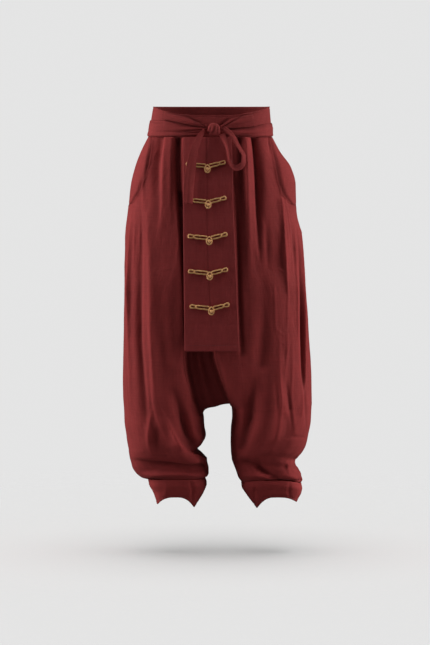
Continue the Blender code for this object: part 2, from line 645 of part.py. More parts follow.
def wrap(name, angle, low, high):
    """A stretch of cloth over the waistband, between a lower and an upper edge."""
    share = np.linspace(0, 1, TIE_ROWS + 1)[:, None]
    z = low + (high - low) * share
    angle = np.repeat(angle[None, :], TIE_ROWS + 1, axis=0)
    ridge = TIE_FOLD * np.sin(share * math.pi * TIE_FOLDS) ** 2 * np.ones_like(z)
    outer = band_point(angle, z, LAYER_GAP + SASH_WALL + ridge)
    inner = band_point(angle, z, LAYER_GAP + ridge * 0.8)
    cloth_wall(name, outer, inner, material("linen_band", LINEN_BAND, 0.85))


def build_tie(name, stations, columns):
    """A stretch of the sash over the waistband's front, its folds drawn to the knot."""
    ends = [float(np.clip(band_angle(station[0], TIE_Z), SIDE_INSET, math.pi - SIDE_INSET))
            for station in (stations[0], stations[-1])]
    angle = np.linspace(*ends, columns + 1)
    low, high = read_rows(stations, band_point(angle, np.full(columns + 1, TIE_Z), 0.0)[:, 0])
    wrap(name, angle, low, high)


def build_sash():
    """Sash and ties: the front stretches, and one round the back."""
    build_tie("sash_left", SASH_LEFT, 14)
    build_tie("sash_right", SASH_RIGHT, 12)
    build_tie("tie_left", TIE_LEFT, 9)
    build_tie("tie_right", TIE_RIGHT, 8)
    angle = -np.linspace(SIDE_INSET, math.pi - SIDE_INSET, BAND_COLUMNS + 1)
    high = np.linspace(SASH_LEFT[0][2], SASH_RIGHT[-1][2], BAND_COLUMNS + 1)
    wrap("sash_back", angle, np.full(BAND_COLUMNS + 1, SASH_LOW), high)


def build_knot():
    """Rounded knot, narrower above, from a subdivided cage."""
    mesh = bpy.data.meshes.new("sash_knot")
    cage = bmesh.new()
    bmesh.ops.create_cube(cage, size=KNOT_CAGE)
    for vert in cage.verts:
        taper = 1.0 - 0.25 * (vert.co.z / KNOT_CAGE + 0.5)
        vert.co.x = (vert.co.x * taper * KNOT_SIZE[0] + KNOT_CENTRE[0]) * MM
        vert.co.y = (vert.co.y * KNOT_SIZE[1] + KNOT_CENTRE[1]) * MM
        vert.co.z = (vert.co.z * KNOT_SIZE[2] + KNOT_CENTRE[2]) * MM
    cage.to_mesh(mesh)
    cage.free()
    mesh.shade_smooth()
    knot = place("sash_knot", mesh, material("linen_band", LINEN_BAND, 0.85))
    soften = knot.modifiers.new("Soften", "SUBSURF")
    soften.levels = 2
    soften.render_levels = 2


def build_strap(name, stations, finish):
    """Flat strap swept through stations, each turned about its own direction."""
    table = np.array(stations, float)
    knots = np.concatenate([[0.0], np.cumsum(np.linalg.norm(np.diff(table[:, :3], axis=0), axis=1))])
    curve = Curve(table, knots)
    rows = curve.at(np.linspace(0, knots[-1], 2 * len(table) - 1))
    along = np.gradient(rows[:, :3], axis=0)
    along /= np.linalg.norm(along, axis=1, keepdims=True)
    front = np.array([0.0, -1.0, 0.0])
    across = np.cross(along, front)
    across /= np.linalg.norm(across, axis=1, keepdims=True)
    facing = np.cross(across, along)
    turn = np.radians(rows[:, 4])[:, None]
    wide = across * np.cos(turn) + facing * np.sin(turn)
    thick = facing * np.cos(turn) - across * np.sin(turn)
    shares = np.linspace(-0.5, 0.5, 3)
    half = STRAP_WALL / 2
    outer = np.stack([rows[:, :3] + wide * rows[:, 3:4] * s + thick * half for s in shares], axis=1)
    inner = np.stack([rows[:, :3] + wide * rows[:, 3:4] * s - thick * half for s in shares], axis=1)
    cloth_wall(name, outer, inner, finish)


def apron_point(x, z, out):
    """Point over the apron's outer face."""
    z = np.asarray(z, float)
    left, right = [read_rows([(row[0], row[1], row[5]) for row in table[:GUSSET_ROW + 4]], z)
                   for table in (LEFT_LEG, RIGHT_LEG)]
    depth = left[1]
    share = np.abs(x - (left[0] + right[0]) / 2) / ((right[0] - left[0]) / 2)
    y = depth * (1 - share ** SECTION_POWER) ** (1 / SECTION_POWER)
    stand = read_rows(APRON_STAND, z) + APRON_WALL + out
    return np.stack([x + 0 * z, y - stand, z + 0 * x], axis=-1)


def build_apron():
    """Doubled apron panel, hung from the waist seam over the front."""
    z = np.linspace(SEAM_Z - SEAM_GAP, APRON_HEM_Z, APRON_ROWS + 1)[:, None]
    share = np.linspace(0, 1, APRON_COLUMNS + 1)[None, :]
    low, high = read_rows(APRON_EDGES, z)
    x = low + (high - low) * share
    z = z + 0 * x
    finish = material("linen_apron", LINEN_APRON, 0.85)
    cloth_wall("apron", apron_point(x, z, 0.0), apron_point(x, z, -APRON_WALL), finish)


def cord_loop(name, start, end):
    """Long narrow loop of cord on the apron, from beside the button to its outer end."""
    start, end = np.array(start, float), np.array(end, float)
    run = end - start
    length = np.hypot(*run)
    along = run / length
    across = np.array([-along[1], along[0]])
    straight = np.linspace(0.0, length - FROG_EYE, FROG_POINTS)
    half = FROG_STRAND + (FROG_EYE - FROG_STRAND) * smooth(length * FROG_FLARE, length - FROG_EYE, straight)
    upper = [start + along * s + across * w for s, w in zip(straight, half)]
    lower = [start + along * s - across * w for s, w in zip(straight, half)]
    turn = [end - along * FROG_EYE + (along * math.sin(a) + across * math.cos(a)) * FROG_EYE
            for a in np.linspace(0, math.pi, FROG_POINTS)[1:-1]]
    inner = [start - along * FROG_STRAND * 0.7]
    flat = np.array(upper + turn + lower[::-1] + inner)
    route = apron_point(flat[:, 0], flat[:, 1], CORD / 2 + LAYER_GAP)
    curve = bpy.data.curves.new(name, "CURVE")
    curve.dimensions = "3D"
    spline = curve.splines.new("POLY")
    spline.points.add(len(route) - 1)
    for point, place_mm in zip(spline.points, route):
        point.co = (*[float(v) * MM for v in place_mm], 1.0)
    spline.use_cyclic_u = True
    curve.bevel_depth = CORD / 2 * MM
    curve.bevel_resolution = 1
    curve.use_fill_caps = True
    curve.materials.append(material("gold_cord", GOLD, 0.45, 0.6))
    made = bpy.data.objects.new(name, curve)
    GARMENT.objects.link(made)


def build_frogs():
    """Five frog fastenings: a loop to each side of a ball button."""
    finish = material("gold_cord", GOLD, 0.45, 0.6)
    for number, (x, z) in enumerate(FROGS, start=1):
        for side, sign, (out, up) in (("right", 1, FROG_RIGHT), ("left", -1, FROG_LEFT)):
            start = (x + sign * FROG_START[0], z + FROG_START[1])
            cord_loop(f"frog_{number}_{side}", start, (x + out, z + up))
        centre = apron_point(np.array(x), np.array(z), BUTTON / 2 + LAYER_GAP)
        mesh = bpy.data.meshes.new(f"frog_{number}_button")
        ball = bmesh.new()
        bmesh.ops.create_uvsphere(ball, u_segments=10, v_segments=7, radius=BUTTON / 2 * MM)
        for vert in ball.verts:
            vert.co += type(vert.co)([float(v) * MM for v in centre])
        ball.to_mesh(mesh)
        ball.free()
        mesh.shade_smooth()
        place(f"frog_{number}_button", mesh, finish)


for leftover in list(bpy.data.objects):
    bpy.data.objects.remove(leftover, do_unlink=True)
GARMENT = bpy.data.collections.new("harem_trousers")
bpy.context.scene.collection.children.link(GARMENT)

build_waistband()
build_legs()
build_facings()
build_gusset()
build_cuffs()
build_sash()
build_knot()
build_strap("sash_tail", TAIL, material("linen_band", LINEN_BAND, 0.85))
build_strap("sash_loop", LOOP, material("linen_band", LINEN_BAND, 0.85))
build_apron()
build_frogs()
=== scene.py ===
"""Harem trousers in burgundy linen: the dressed model, its plain studio and its camera.

The frame is the solids' own: metres, +Z up, the front faces -Y, and left and right are as
seen from the front. Tables and sizes are in millimetres up to the meshes, and lines in PHOTO
units are places in the 430 x 645 view.
"""
import logging
import math
from collections.abc import Sequence
from dataclasses import dataclass
from enum import Enum, IntEnum

import bmesh
import bpy
import numpy as np
from mathutils import Euler, Matrix, Vector


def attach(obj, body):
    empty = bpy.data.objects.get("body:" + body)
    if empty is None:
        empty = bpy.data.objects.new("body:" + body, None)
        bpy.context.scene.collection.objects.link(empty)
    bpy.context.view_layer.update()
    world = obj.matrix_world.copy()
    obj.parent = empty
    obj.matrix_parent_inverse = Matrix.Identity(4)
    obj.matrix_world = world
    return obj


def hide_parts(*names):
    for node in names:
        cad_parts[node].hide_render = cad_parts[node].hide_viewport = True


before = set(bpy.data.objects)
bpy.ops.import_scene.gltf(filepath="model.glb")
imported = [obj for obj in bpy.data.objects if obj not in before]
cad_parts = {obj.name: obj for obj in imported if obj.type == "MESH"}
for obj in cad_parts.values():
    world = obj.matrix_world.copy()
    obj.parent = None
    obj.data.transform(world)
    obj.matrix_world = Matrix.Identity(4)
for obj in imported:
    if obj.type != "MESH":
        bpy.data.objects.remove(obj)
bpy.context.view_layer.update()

LOG = logging.getLogger("harem_trousers")
MM = 0.001
TINY = 1e-6
FORWARD = (0.0, -1.0, 0.0)
SECTION_POWER = 3.0
ROUNDING = 2 / SECTION_POWER
RING_POINTS = 1201
PINCH_FALL = 1.6
PINCH_TIP = 0.2
BAND_STEPS = 50
BAND_DEPTH = -112.0
BAND_SHADING_FULL = 2.0

Array = np.ndarray
Colour = tuple[float, float, float]
Line = tuple[tuple[float, float], ...]
Rows = tuple[tuple[float, ...], ...]


class Side(Enum):
    """Which leg, as seen from the front."""

    LEFT = "left"
    RIGHT = "right"


class Face(Enum):
    """Which half of the garment a line or panel is on."""

    FRONT = 1
    BACK = -1


class Units(Enum):
    """What a crease line's numbers are."""

    FORM = "x and z on the form in millimetres"
    PHOTO = "column and row in the 430 x 645 view"


class Column(IntEnum):
    """Columns of a leg section's row."""

    Z_OUT = 0
    X_OUT = 1
    Z_IN = 2
    X_IN = 3
    Z_FRONT = 4
    Y_FRONT = 5
    Z_BACK = 6
    Y_BACK = 7
    CUT = 8


# ---------------------------------------------------------------- the garment's own sizes

def level(z: float, outer: float, inner: float, front: float, back: float,
          cut: float = 0.0) -> tuple[float, ...]:
    """A leg section's row with its whole ring at one height."""
    return (z, outer, z, inner, z, front, z, back, cut)


LEFT_LEG: Rows = (
    level(-35.3, -150.3, 141.7, -98, 96),
    level(-71, -168, 162, -111, 112),
    level(-109, -182, 178, -122, 127),
    level(-149, -191.6, 189, -130, 140),
    level(-200, -197, 197, -136, 151),
    level(-279, -205, 205, -141, 158),
    level(-326, -206, 204, -142, 159),
    level(-374, -206.6, 115, -142, 158, 0.21),
    level(-450, -208, 60, -141, 155, 0.33),
    level(-545, -209.5, -10, -138, 150, 0.438),
    level(-584, -210, -18, -137, 147, 0.535),
    (-618, -210.5, -632, -23, -622, -136, -622, 144, 0.69),
    (-645, -210, -668, -27, -650, -134, -650, 142, 0.84),
    (-662, -209, -687, -24, -670, -132, -670, 140, 0.955),
    (-676, -208, -695, -20, -684, -130, -684, 138, 1.0),
    (-712, -206.5, -722, -18, -714, -126, -716, 134, 1.0),
    (-745, -202, -742, -14.7, -740, -122, -744, 130, 1.0),
    (-762, -199.5, -760, -24, -755, -119, -761, 127, 1.0),
    (-776, -197, -774, -36, -768, -116, -776, 124, 1.0),
    (-788, -195.5, -785, -24, -781, -112, -788, 120, 1.0),
    (-800, -193, -797, -13.5, -793, -104, -800, 113, 1.0),
    (-815, -189, -812, -9.5, -804, -94, -811, 103, 1.0),
    (-831, -179, -827, -8, -814, -89, -822, 96, 1.0),
    (-841, -165, -836, -9.5, -827, -92, -834, 97, 1.0),
    (-843.5, -152, -841, -17, -840, -79, -845, 84, 1.0),
)
RIGHT_LEG: Rows = (
    level(-35.3, 141.7, -150.3, -98, 96),
    level(-71, 161, -167, -111, 112),
    level(-109, 187, -191, -122, 127),
    level(-149, 197.6, -200.2, -130, 140),
    level(-200, 198.7, -198.7, -136, 151),
    level(-279, 213, -213, -141, 158),
    level(-326, 217, -219, -142, 159),
    level(-374, 220, -140, -142, 158, 0.21),
    level(-450, 226, -105, -141, 155, 0.33),
    level(-545, 232, -77, -138, 150, 0.438),
    level(-584, 234, -39, -137, 147, 0.574),
    (-615, 235, -627, -2, -618, -135, -618, 144, 0.74),
    (-638, 235.4, -652, 23, -642, -133, -642, 141, 0.87),
    (-655, 235.7, -665, 38, -658, -131, -658, 139, 0.96),
    (-668, 235.7, -672, 46, -672, -129, -672, 137, 1.0),
    (-704, 233.8, -692, 48, -698, -125, -700, 133, 1.0),
    (-738, 228, -725, 45, -730, -121, -733, 129, 1.0),
    (-763, 222.3, -758, 44, -754, -116, -760, 125, 1.0),
    (-783, 211, -778, 45, -772, -112, -778, 121, 1.0),
    (-799, 194, -795, 47, -784, -106, -792, 115, 1.0),
    (-812, 199, -808, 50.5, -796, -99, -805, 109, 1.0),
    (-826, 206.8, -822, 55.6, -808, -92, -816, 101, 1.0),
    (-845, 214, -838, 61, -826, -94, -834, 98, 1.0),
    (-852, 211, -850, 69, -842, -80, -847, 85, 1.0),
)
LEFT_CUFF: Rows = (
    (-856, -149.5, -854, -12.5, -853, -76, -858, 81, 1.0),
    (-874, -140.5, -874, -18.5, -866, -68, -871, 73, 1.0),
    (-890, -134.5, -894, -30, -877, -61, -880, 66, 1.0),
    (-905, -129.7, -912, -42.6, -884, -55, -886, 59, 1.0),
)
RIGHT_CUFF: Rows = (
    (-864, 213.5, -862, 70, -855, -77, -860, 82, 1.0),
    (-878, 211.5, -878, 79, -866, -69, -871, 74, 1.0),
    (-889, 206, -896, 92, -877, -62, -880, 67, 1.0),
    (-899, 200.4, -914, 106.7, -884, -55, -886, 59, 1.0),
)
CROTCH_ROW = 14
GUSSET_ROW = 6

POCKET_EDGE: dict[Side, Rows] = {
    Side.LEFT: ((-30, -138), (-60, -141), (-100, -147), (-130, -155), (-161, -167), (-186, -184)),
    Side.RIGHT: ((-30, 133), (-60, 139), (-100, 147), (-141, 154), (-172, 166), (-190, 183)),
}
POCKET_END_Z = -203.0

BAND: Rows = (
    (35.5, -138.5, 136.0, -93, 91),
    (0.0, -144.0, 139.0, -96, 94),
    (-35.0, -150.3, 141.7, -98, 96),
)
BAND_TOP = 35.5
BAND_BOTTOM = -35.0
FRONT_DIP = 21.0

SASH_LEFT: Rows = (
    (-150, -34.6, 4), (-114, -34.6, 3), (-75, -34.3, -4), (-40, -32.5, -11), (-11, -30, -14),
)
SASH_RIGHT: Rows = (
    (20, -30, -16), (45, -32.5, -17), (97, -34.3, -12.5), (125, -34.6, -5), (150, -34.6, -3),
)
TIE_LEFT: Rows = ((-114, 4.0, 22), (-71, -3.9, 12), (-40, -10.2, 1), (-11, -15, -7))
TIE_RIGHT: Rows = ((20, -17, -9), (47, -16.0, 8), (78, -13.0, 15), (97, -11.6, 17))

APRON_EDGES: Rows = ((-36, -66, 46), (-121, -67, 48.3), (-197, -67, 50), (-360, -65.5, 57),
                     (-533, -64, 64))
APRON_STAND: Rows = ((-36, 0.5), (-60, 3.0), (-110, 7.0), (-200, 8.5), (-533, 9.5))
APRON_TOP = -35.6
APRON_HEM = -533.0
APRON_TURN = 14.0
APRON_SINK = 0.3
CUFF_HEM = 7.0
HEM_SINK = 0.2

TAIL: Rows = (
    (-17.4, -112.1, -21, 13, 35), (-25, -117, -30, 14, 28), (-32.5, -121, -43, 16, 20),
    (-41, -130, -66, 20, 22), (-47, -138.5, -96, 24, 22), (-52, -146, -130, 25.5, 21),
    (-54.5, -151.5, -162, 25, 20), (-55.3, -155.5, -190, 22.5, 18),
)
LOOP: Rows = (
    (22.8, -114.6, -29.5, 13, 10), (29, -120, -41, 14, 35), (34, -127, -56, 14, 55),
    (37.5, -133, -72, 14, 62), (40, -137, -88, 14, 58), (45.5, -140, -100, 14, 40),
    (55, -141, -107.5, 14, 12), (66.5, -140, -103.5, 14, -18), (73.5, -138, -93, 13, -40),
    (74, -134, -80, 13, -50), (67, -129, -66, 12, -50), (58.5, -124, -52, 12, -40),
    (51, -119, -38, 12.5, -30), (40.5, -115, -25, 12, -22), (25.6, -111.1, -15, 12, -10),
)
FROGS: Line = ((-10.4, -107.6), (-8.8, -190), (-6.3, -274), (-5.1, -355.5), (-1.4, -437))


@dataclass(frozen=True)
class Crease:
    """One fold: a ridge, or a trough where its heights are negative, along a line.

    heights are at its start, middle and end, reach is to the left and right of a line that
    runs downwards, and pinch is 0 for a round fold and 1 for a sharp one.
    """

    face: Face
    units: Units
    heights: tuple[float, float, float]
    reach: tuple[float, float]
    line: Line
    pinch: float = 0.0


def creases(face: Face, units: Units, *rows: tuple) -> tuple[Crease, ...]:
    """Creases of one face, from rows of heights, reaches, a line and, if sharp, a pinch."""
    return tuple(Crease(face, units, *row) for row in rows)


F, B, FORM, PHOTO = Face.FRONT, Face.BACK, Units.FORM, Units.PHOTO
FOLDS = creases(F, FORM,
    ((7, 6, 0), (20, 8), ((-95, -38), (-97, -90), (-98, -160), (-101, -240))),
    ((-4, -6, -1), (15, 8), ((-124, -50), (-127, -100), (-125, -160), (-121, -225))),
    ((-7, -6, -1), (5, 9), ((-80, -38), (-79, -110), (-74, -190), (-67, -290), (-63, -400),
     (-62, -540))),
    ((1, 9, 3), (10, 20), ((-149, -215), (-144, -370), (-143, -470), (-137, -560), (-129, -640),
     (-118, -700))),
    ((0, 1, 4), (13, 16), ((-100, -340), (-103, -440), (-96, -560))),
    ((1, 4, 2), (11, 13), ((-137, -690), (-148, -718), (-149, -745), (-141, -778))),
    ((0, 14, 7), (20, 8), ((-118, -680), (-98, -715), (-82, -748), (-68, -772), (-40, -786))),
    ((0, -11, -9), (14, 11), ((-84, -620), (-64, -690), (-54, -735), (-46, -752))),
    ((-4, -4, -2), (4, 6), ((61, -40), (62, -180), (63, -370), (67, -540))),
    ((7, 5, 1), (9, 14), ((80, -45), (83, -150), (85, -280), (85, -380))),
    ((-8, -6, -1), (7, 10), ((95, -40), (100, -90), (105, -160), (108, -290))),
    ((3, 3, 0), (12, 15), ((121, -45), (126, -150), (131, -260))),
    ((0, -5, -7), (15, 15), ((118, -330), (121, -450), (116, -560))),
    ((4, 9, 2), (10, 12), ((163, -190), (171, -270), (172, -340), (178, -385))),
    ((0, -6, -2), (10, 10), ((186, -240), (192, -300), (198, -370))),
    ((3, 12, 4), (15, 13), ((158, -560), (160, -665), (153, -725), (138, -758))),
    ((1, 8, 2), (9, 10), ((168, -630), (178, -675), (188, -720))),
    ((0, -13, -8), (18, 16), ((107, -600), (92, -690), (74, -745))),
    ((-5, -9, -6), (11, 9), ((76, -795), (104, -798), (124, -812), (150, -826))),
    ((1, 14, 0), (6, 9), ((-189, -205), (-193, -290), (-195, -400), (-195, -510), (-190, -690))),
    ((0, 8, 3), (7, 5), ((205, -215), (212, -300), (217, -440), (219, -570), (212, -680))),
    ((-1, -5, -3), (6, 9), ((-64, -440), (-65, -535), (-61, -580), (-51, -615), (-43, -649))),
    ((-1, -5, -3), (9, 6), ((7, -440), (9, -535), (16, -568), (26, -607), (33, -633))),
) + creases(B, FORM,
    ((1, 9, 3), (15, 13), ((-178, -160), (-184, -330), (-184, -520), (-168, -690))),
    ((1, 9, 3), (14, 15), ((182, -150), (196, -330), (202, -520), (200, -680))),
    ((-10, -8, -1), (8, 14), ((-118, -38), (-124, -150), (-128, -280))),
    ((10, 7, 1), (13, 10), ((-94, -38), (-99, -170), (-96, -360))),
    ((-10, -7, -1), (9, 12), ((-66, -38), (-70, -160), (-66, -320))),
    ((2, 10, 6), (15, 18), ((-142, -240), (-136, -420), (-138, -560), (-130, -690))),
    ((0, -8, -7), (16, 14), ((-98, -420), (-98, -590), (-78, -730))),
    ((3, 12, 8), (10, 18), ((-128, -700), (-104, -742), (-70, -772), (-44, -782))),
    ((-10, -7, -1), (9, 12), ((58, -38), (64, -150), (62, -310))),
    ((10, 7, 1), (11, 12), ((86, -38), (92, -180), (96, -370))),
    ((-10, -8, -1), (9, 14), ((112, -38), (122, -150), (126, -270))),
    ((2, 10, 5), (17, 15), ((146, -230), (152, -420), (162, -560), (160, -690))),
    ((0, -9, -6), (15, 16), ((116, -440), (112, -620), (94, -740))),
    ((3, 12, 7), (16, 10), ((160, -700), (138, -752), (104, -776), (72, -786))),
)
CREASES = creases(F, PHOTO,
    # left front: pleats, the shadowed fall beside the panel, the long bright fold
    ((-9, -9, -1), (12, 3.5), ((163.6, 136), (161.6, 150), (159.8, 162), (158.6, 190)), 0.3),
    ((2, 4, 0), (3, 8), ((165, 139), (162.8, 165), (161.6, 200), (162, 235))),
    ((-9, -11, -10), (3, 8), ((177.2, 136), (176.5, 160), (177.5, 185), (179.5, 205)), 0.3),
    ((-9, -9, -2), (3, 6), ((179, 195), (182, 240), (184.3, 285), (185.5, 352)), 0.2),
    ((-8, -5, 0), (3, 3), ((189, 136), (188, 145), (186.8, 157)), 0.3),
    ((4, 3, 0), (4, 4), ((183, 140), (182.6, 152), (182, 168))),
    ((0, 1.5, 0), (3, 4), ((161, 205), (160.2, 222), (158, 238))),
    ((2, 3, 0), (5, 6), ((150, 145), (145.5, 165), (143, 190), (144, 215))),
    ((-1, -14, 0), (13, 5.5), ((140.5, 200), (141.5, 245), (140.5, 290), (140, 330), (143, 372),
     (146, 405), (147, 430)), 0.2),
    ((1, 3, 2), (6, 9), ((147.5, 215), (149, 250), (150.5, 290), (151, 330), (152.5, 365),
     (155, 395), (158, 418), (163, 436)), 0.2),
    ((0, 2.5, 0), (2.2, 3), ((150.5, 352), (151.5, 378), (153, 400), (156, 415), (160, 430)), 0.4),
    ((0, 2, 0), (3, 3), ((135, 212), (134.5, 240), (133, 275))),
    ((0, 2, 0), (3, 3), ((140, 205), (139.5, 235), (139, 262))),
    ((0, 3, 0), (3, 4), ((125.5, 345), (126.8, 380), (128.3, 405), (130, 432))),
    ((0, 3.5, 0), (4, 5), ((154, 405), (149, 423), (148, 440), (151, 456)), 0.3),
    ((0, -3, 0), (6, 6), ((158, 425), (157, 440), (162, 455))),
    ((0, 8, 3), (5, 4), ((160, 408), (169, 424), (176, 438.4), (182.8, 447.4), (191, 453.4),
     (206, 458)), 0.3),
    ((0, -14, -9), (14, 10), ((170, 382), (180, 412), (187, 432), (195, 447))),
    ((0.5, 0.8, 0.3), (1.6, 1.6), ((155, 270.5), (164, 269.2), (172, 268.3), (180, 268.5)), 0.5),
    ((0, 0.6, 0), (1.6, 1.6), ((152, 312), (166, 311), (180, 308)), 0.5),
    ((0, 0.6, 0), (1.6, 1.6), ((156, 324), (168, 322), (181, 318)), 0.5),
    ((0, -0.7, 0), (1.8, 1.8), ((126, 278), (136, 277), (146, 276)), 0.5),
    ((0, -0.8, 0), (1.8, 1.8), ((126, 363), (150, 363.5), (178, 362)), 0.5),
    ((0, -16, -10), (10, 5), ((128, 459), (150, 463), (168, 464.5), (190, 467), (205, 465))),
    ((1, 4, 2), (4, 4), ((141, 475), (160, 475.5), (185, 474.5), (205, 472.5))),
    ((-6, -1, 0), (3.5, 3.5), ((149.5, 484.4), (161.2, 480.8), (170.2, 481.7), (181, 478),
     (206.2, 475.4)), 0.4),
    ((0, -3, -4), (6, 6), ((176, 474), (192, 473), (208, 471))),
    # right front
    ((-8, -7, 0), (2.5, 3.5), ((239, 136), (240, 155), (240.5, 185), (241, 225)), 0.3),
    ((-2, -5, -3), (3, 3.5), ((233.5, 165), (236.5, 210), (238.5, 260), (240.5, 310), (243, 352))),
    ((3, 5, 1), (5, 6), ((245.5, 139), (247, 165), (248, 200), (250, 245))),
    ((-9, -9, 0), (3, 6), ((252, 136), (254.2, 152), (255.6, 175), (256.6, 205), (258.4, 240),
     (260, 265)), 0.4),
    ((0, -3, 0), (5, 7), ((266, 215), (267, 245), (268, 275))),
    ((-2, -3, 0), (2.5, 3), ((268, 137), (268.6, 144), (269, 154)), 0.3),
    ((1, 4, 1), (3, 2.5), ((280.5, 193), (283, 215), (283.6, 237), (285, 262), (287, 285),
     (288, 300), (287.5, 325)), 0.3),
    ((1, 2.5, 0), (2.5, 2.5), ((285, 198), (288, 215), (291, 240), (293, 262), (293.6, 278)), 0.3),
    ((0, -2, 0), (3, 3), ((282, 205), (286, 235), (288.5, 262))),
    ((0, 4, 0), (4, 3), ((293.5, 212), (296, 250), (297.6, 290), (298.5, 330), (299, 350))),
    ((-2, -13, -1), (5, 8), ((297.4, 232), (299.8, 255), (301.2, 285), (302, 330), (303, 370),
     (305.5, 405), (306.5, 428)), 0.2),
    ((0, 1.4, 0), (2.5, 1.2), ((271, 269), (278, 268.8), (283, 271.5), (287, 281)), 0.5),
    ((0, 1.5, 0), (3, 2), ((274, 275), (275, 300), (276, 325), (279, 345))),
    ((0, 1.2, 0), (2, 2), ((275, 328), (281, 333), (286, 336)), 0.4),
    ((0, 1.2, 0), (2, 2), ((277, 339), (283, 343), (288, 349)), 0.4),
    ((0.5, 3, 0.5), (3, 3), ((279.5, 330), (279.6, 372), (281.5, 400), (280, 420), (277, 440)),
     0.3),
    ((0, 2, 0), (2.5, 2.5), ((286.5, 325), (287.5, 345), (286, 368), (284, 388))),
    ((0, -8, 0), (9, 4), ((286, 375), (288.5, 400), (291, 418), (294, 440)), 0.2),
    ((0, 3, 1), (5, 4), ((274, 372), (276, 395), (277.5, 415), (275, 436)), 0.2),
    ((0, 2, 0), (3, 3), ((292.5, 330), (293, 360), (292, 392), (296, 425))),
    ((0, -11, -6), (13, 10), ((256, 375), (251, 405), (246, 428), (241, 446))),
    ((-0.5, -2.5, -1.5), (2.5, 2.5), ((284, 438.5), (295, 437.2), (305, 438)), 0.4),
    ((-2, -11, 0), (8, 5), ((235, 462), (252, 465), (264, 471), (274, 477.5), (286, 483))),
    ((0, 4, 0), (4, 4), ((238, 473), (252, 475.5), (262, 477.5), (274, 481.5))),
    ((-1, -4, -7), (3.5, 3.5), ((250, 485), (257, 481.4), (263, 480.4), (274, 483), (290, 483),
     (302.1, 480.3)), 0.4),
    ((3, 5, 0), (3.5, 6), ((297, 458), (291, 463), (287.5, 468), (290, 477)), 0.2),
    ((0, 3, 1), (5, 5), ((290, 470), (296, 472), (302, 474))),
) + creases(B, PHOTO,
    # back, like the front
    ((-8, -5, 0), (3, 6), ((160, 137), (158, 155), (156, 185)), 0.5),
    ((-8, -5, 0), (3, 6), ((181, 137), (179, 155), (180, 190)), 0.5),
    ((-8, -5, 0), (6, 3), ((239, 137), (241, 152), (240, 182)), 0.5),
    ((-8, -5, 0), (6, 3), ((261, 137), (264, 158), (266, 190)), 0.5),
    ((0, 3, 0), (5, 7), ((170, 190), (166, 260), (170, 330))),
    ((0, 3, 0), (7, 5), ((252, 200), (257, 270), (252, 350))),
    ((0, -4, 0), (6, 5), ((146, 240), (143, 320), (147, 400))),
    ((0, -4, 0), (5, 6), ((281, 230), (286, 320), (283, 395))),
    ((1, 5, 2), (5, 4), ((152, 400), (160, 428), (172, 446), (192, 456)), 0.3),
    ((1, 5, 2), (4, 5), ((284, 400), (276, 428), (262, 446), (244, 456)), 0.3),
    ((-1, -6, -2), (6, 6), ((132, 460), (155, 464), (180, 466), (202, 460))),
    ((-1, -6, -2), (6, 6), ((238, 462), (258, 467), (280, 470), (298, 464))),
    ((-4, -6, -4), (3.5, 3.5), ((150, 484), (165, 483), (185, 482), (206, 477)), 0.4),
    ((-4, -6, -4), (3.5, 3.5), ((243, 484), (262, 484), (283, 485), (302, 481)), 0.4),
)
CUFF_CREASES = creases(F, PHOTO,
    ((-2, -3, -1.5), (4, 5), ((190, 483.5), (192.3, 492.5), (191.4, 504)), 0.2),
    ((0, 1.5, 0.5), (6, 6), ((168, 484), (166, 491), (165, 498))),
    ((0, 4, 1), (6, 6), ((176, 482), (192, 481), (204, 480))),
    ((0, 2.5, 0), (4, 4), ((262, 483), (272, 485), (283, 485)), 0.2),
    ((-1, -2.5, -1), (4, 4), ((256, 486), (254.4, 497), (255, 506)), 0.2),
    ((-1, -2, 0), (4, 4), ((290, 485), (289, 493), (292, 501)), 0.2),
) + creases(B, PHOTO,
    ((-2, -3, -1.5), (4, 5), ((166, 484), (165, 492), (166, 500)), 0.2),
    ((-1, -2.5, -1), (4, 4), ((280, 486), (281, 493), (280, 499)), 0.2),
)
BAND_CREASES = creases(F, PHOTO,
    ((-0.4, -2.2, -2.6), (1.6, 3), ((178, 112), (190, 118.5), (199, 123.6), (206, 127))),
    ((-0.3, -1.6, -2.4), (2, 2.6), ((160, 117.5), (172, 122), (186, 126), (206, 128))),
    ((-1.2, -1.2, 0), (1.6, 2), ((148, 122.4), (156, 123.4), (166, 124))),
    ((-0.6, -2, -2.2), (1.8, 2.6), ((158, 132), (178, 132), (194, 130.8), (206, 129.8))),
    ((0, -1.4, -1.6), (1.4, 1.6), ((176, 133.4), (190, 133.4), (205, 131.8))),
    ((0, 1.6, 1.6), (3, 3), ((168, 127.6), (184, 129.2), (206, 129))),
    ((0, 1.4, 1.2), (3.4, 3), ((164, 113.6), (178, 118.6), (194, 124))),
    ((-0.6, -0.6, -0.6), (1, 1), ((163.6, 110), (163.4, 120), (163, 130))),
    ((-2.4, -1.6, 0), (2.6, 1.6), ((220.5, 126), (225, 121.6), (230.5, 117))),
    ((-2.4, -1.8, -0.4), (3, 1.6), ((222, 127.6), (234, 120.6), (246, 115.2), (258, 112))),
    ((-2.2, -1.8, -0.8), (2.4, 2.6), ((223, 129.6), (240, 129.2), (256, 127.6), (272, 124.6))),
    ((0, -1.2, 0), (2, 2), ((228, 127), (242, 123.6), (256, 120.6))),
    ((0, 1.6, 0.6), (3, 3), ((226, 126), (238, 121.6), (252, 117.4))),
    ((1.2, 1.6, 0.8), (3, 3), ((224, 132.4), (240, 132.6), (258, 131), (272, 128.4))),
    ((-1, -1.2, 0), (1.6, 2), ((226, 135), (240, 135.4), (256, 134.4))),
    ((-0.8, -0.8, -0.8), (1, 1), ((252.8, 112), (252.9, 119), (253, 127))),
)


# ---------------------------------------------------------------- numbers and lines


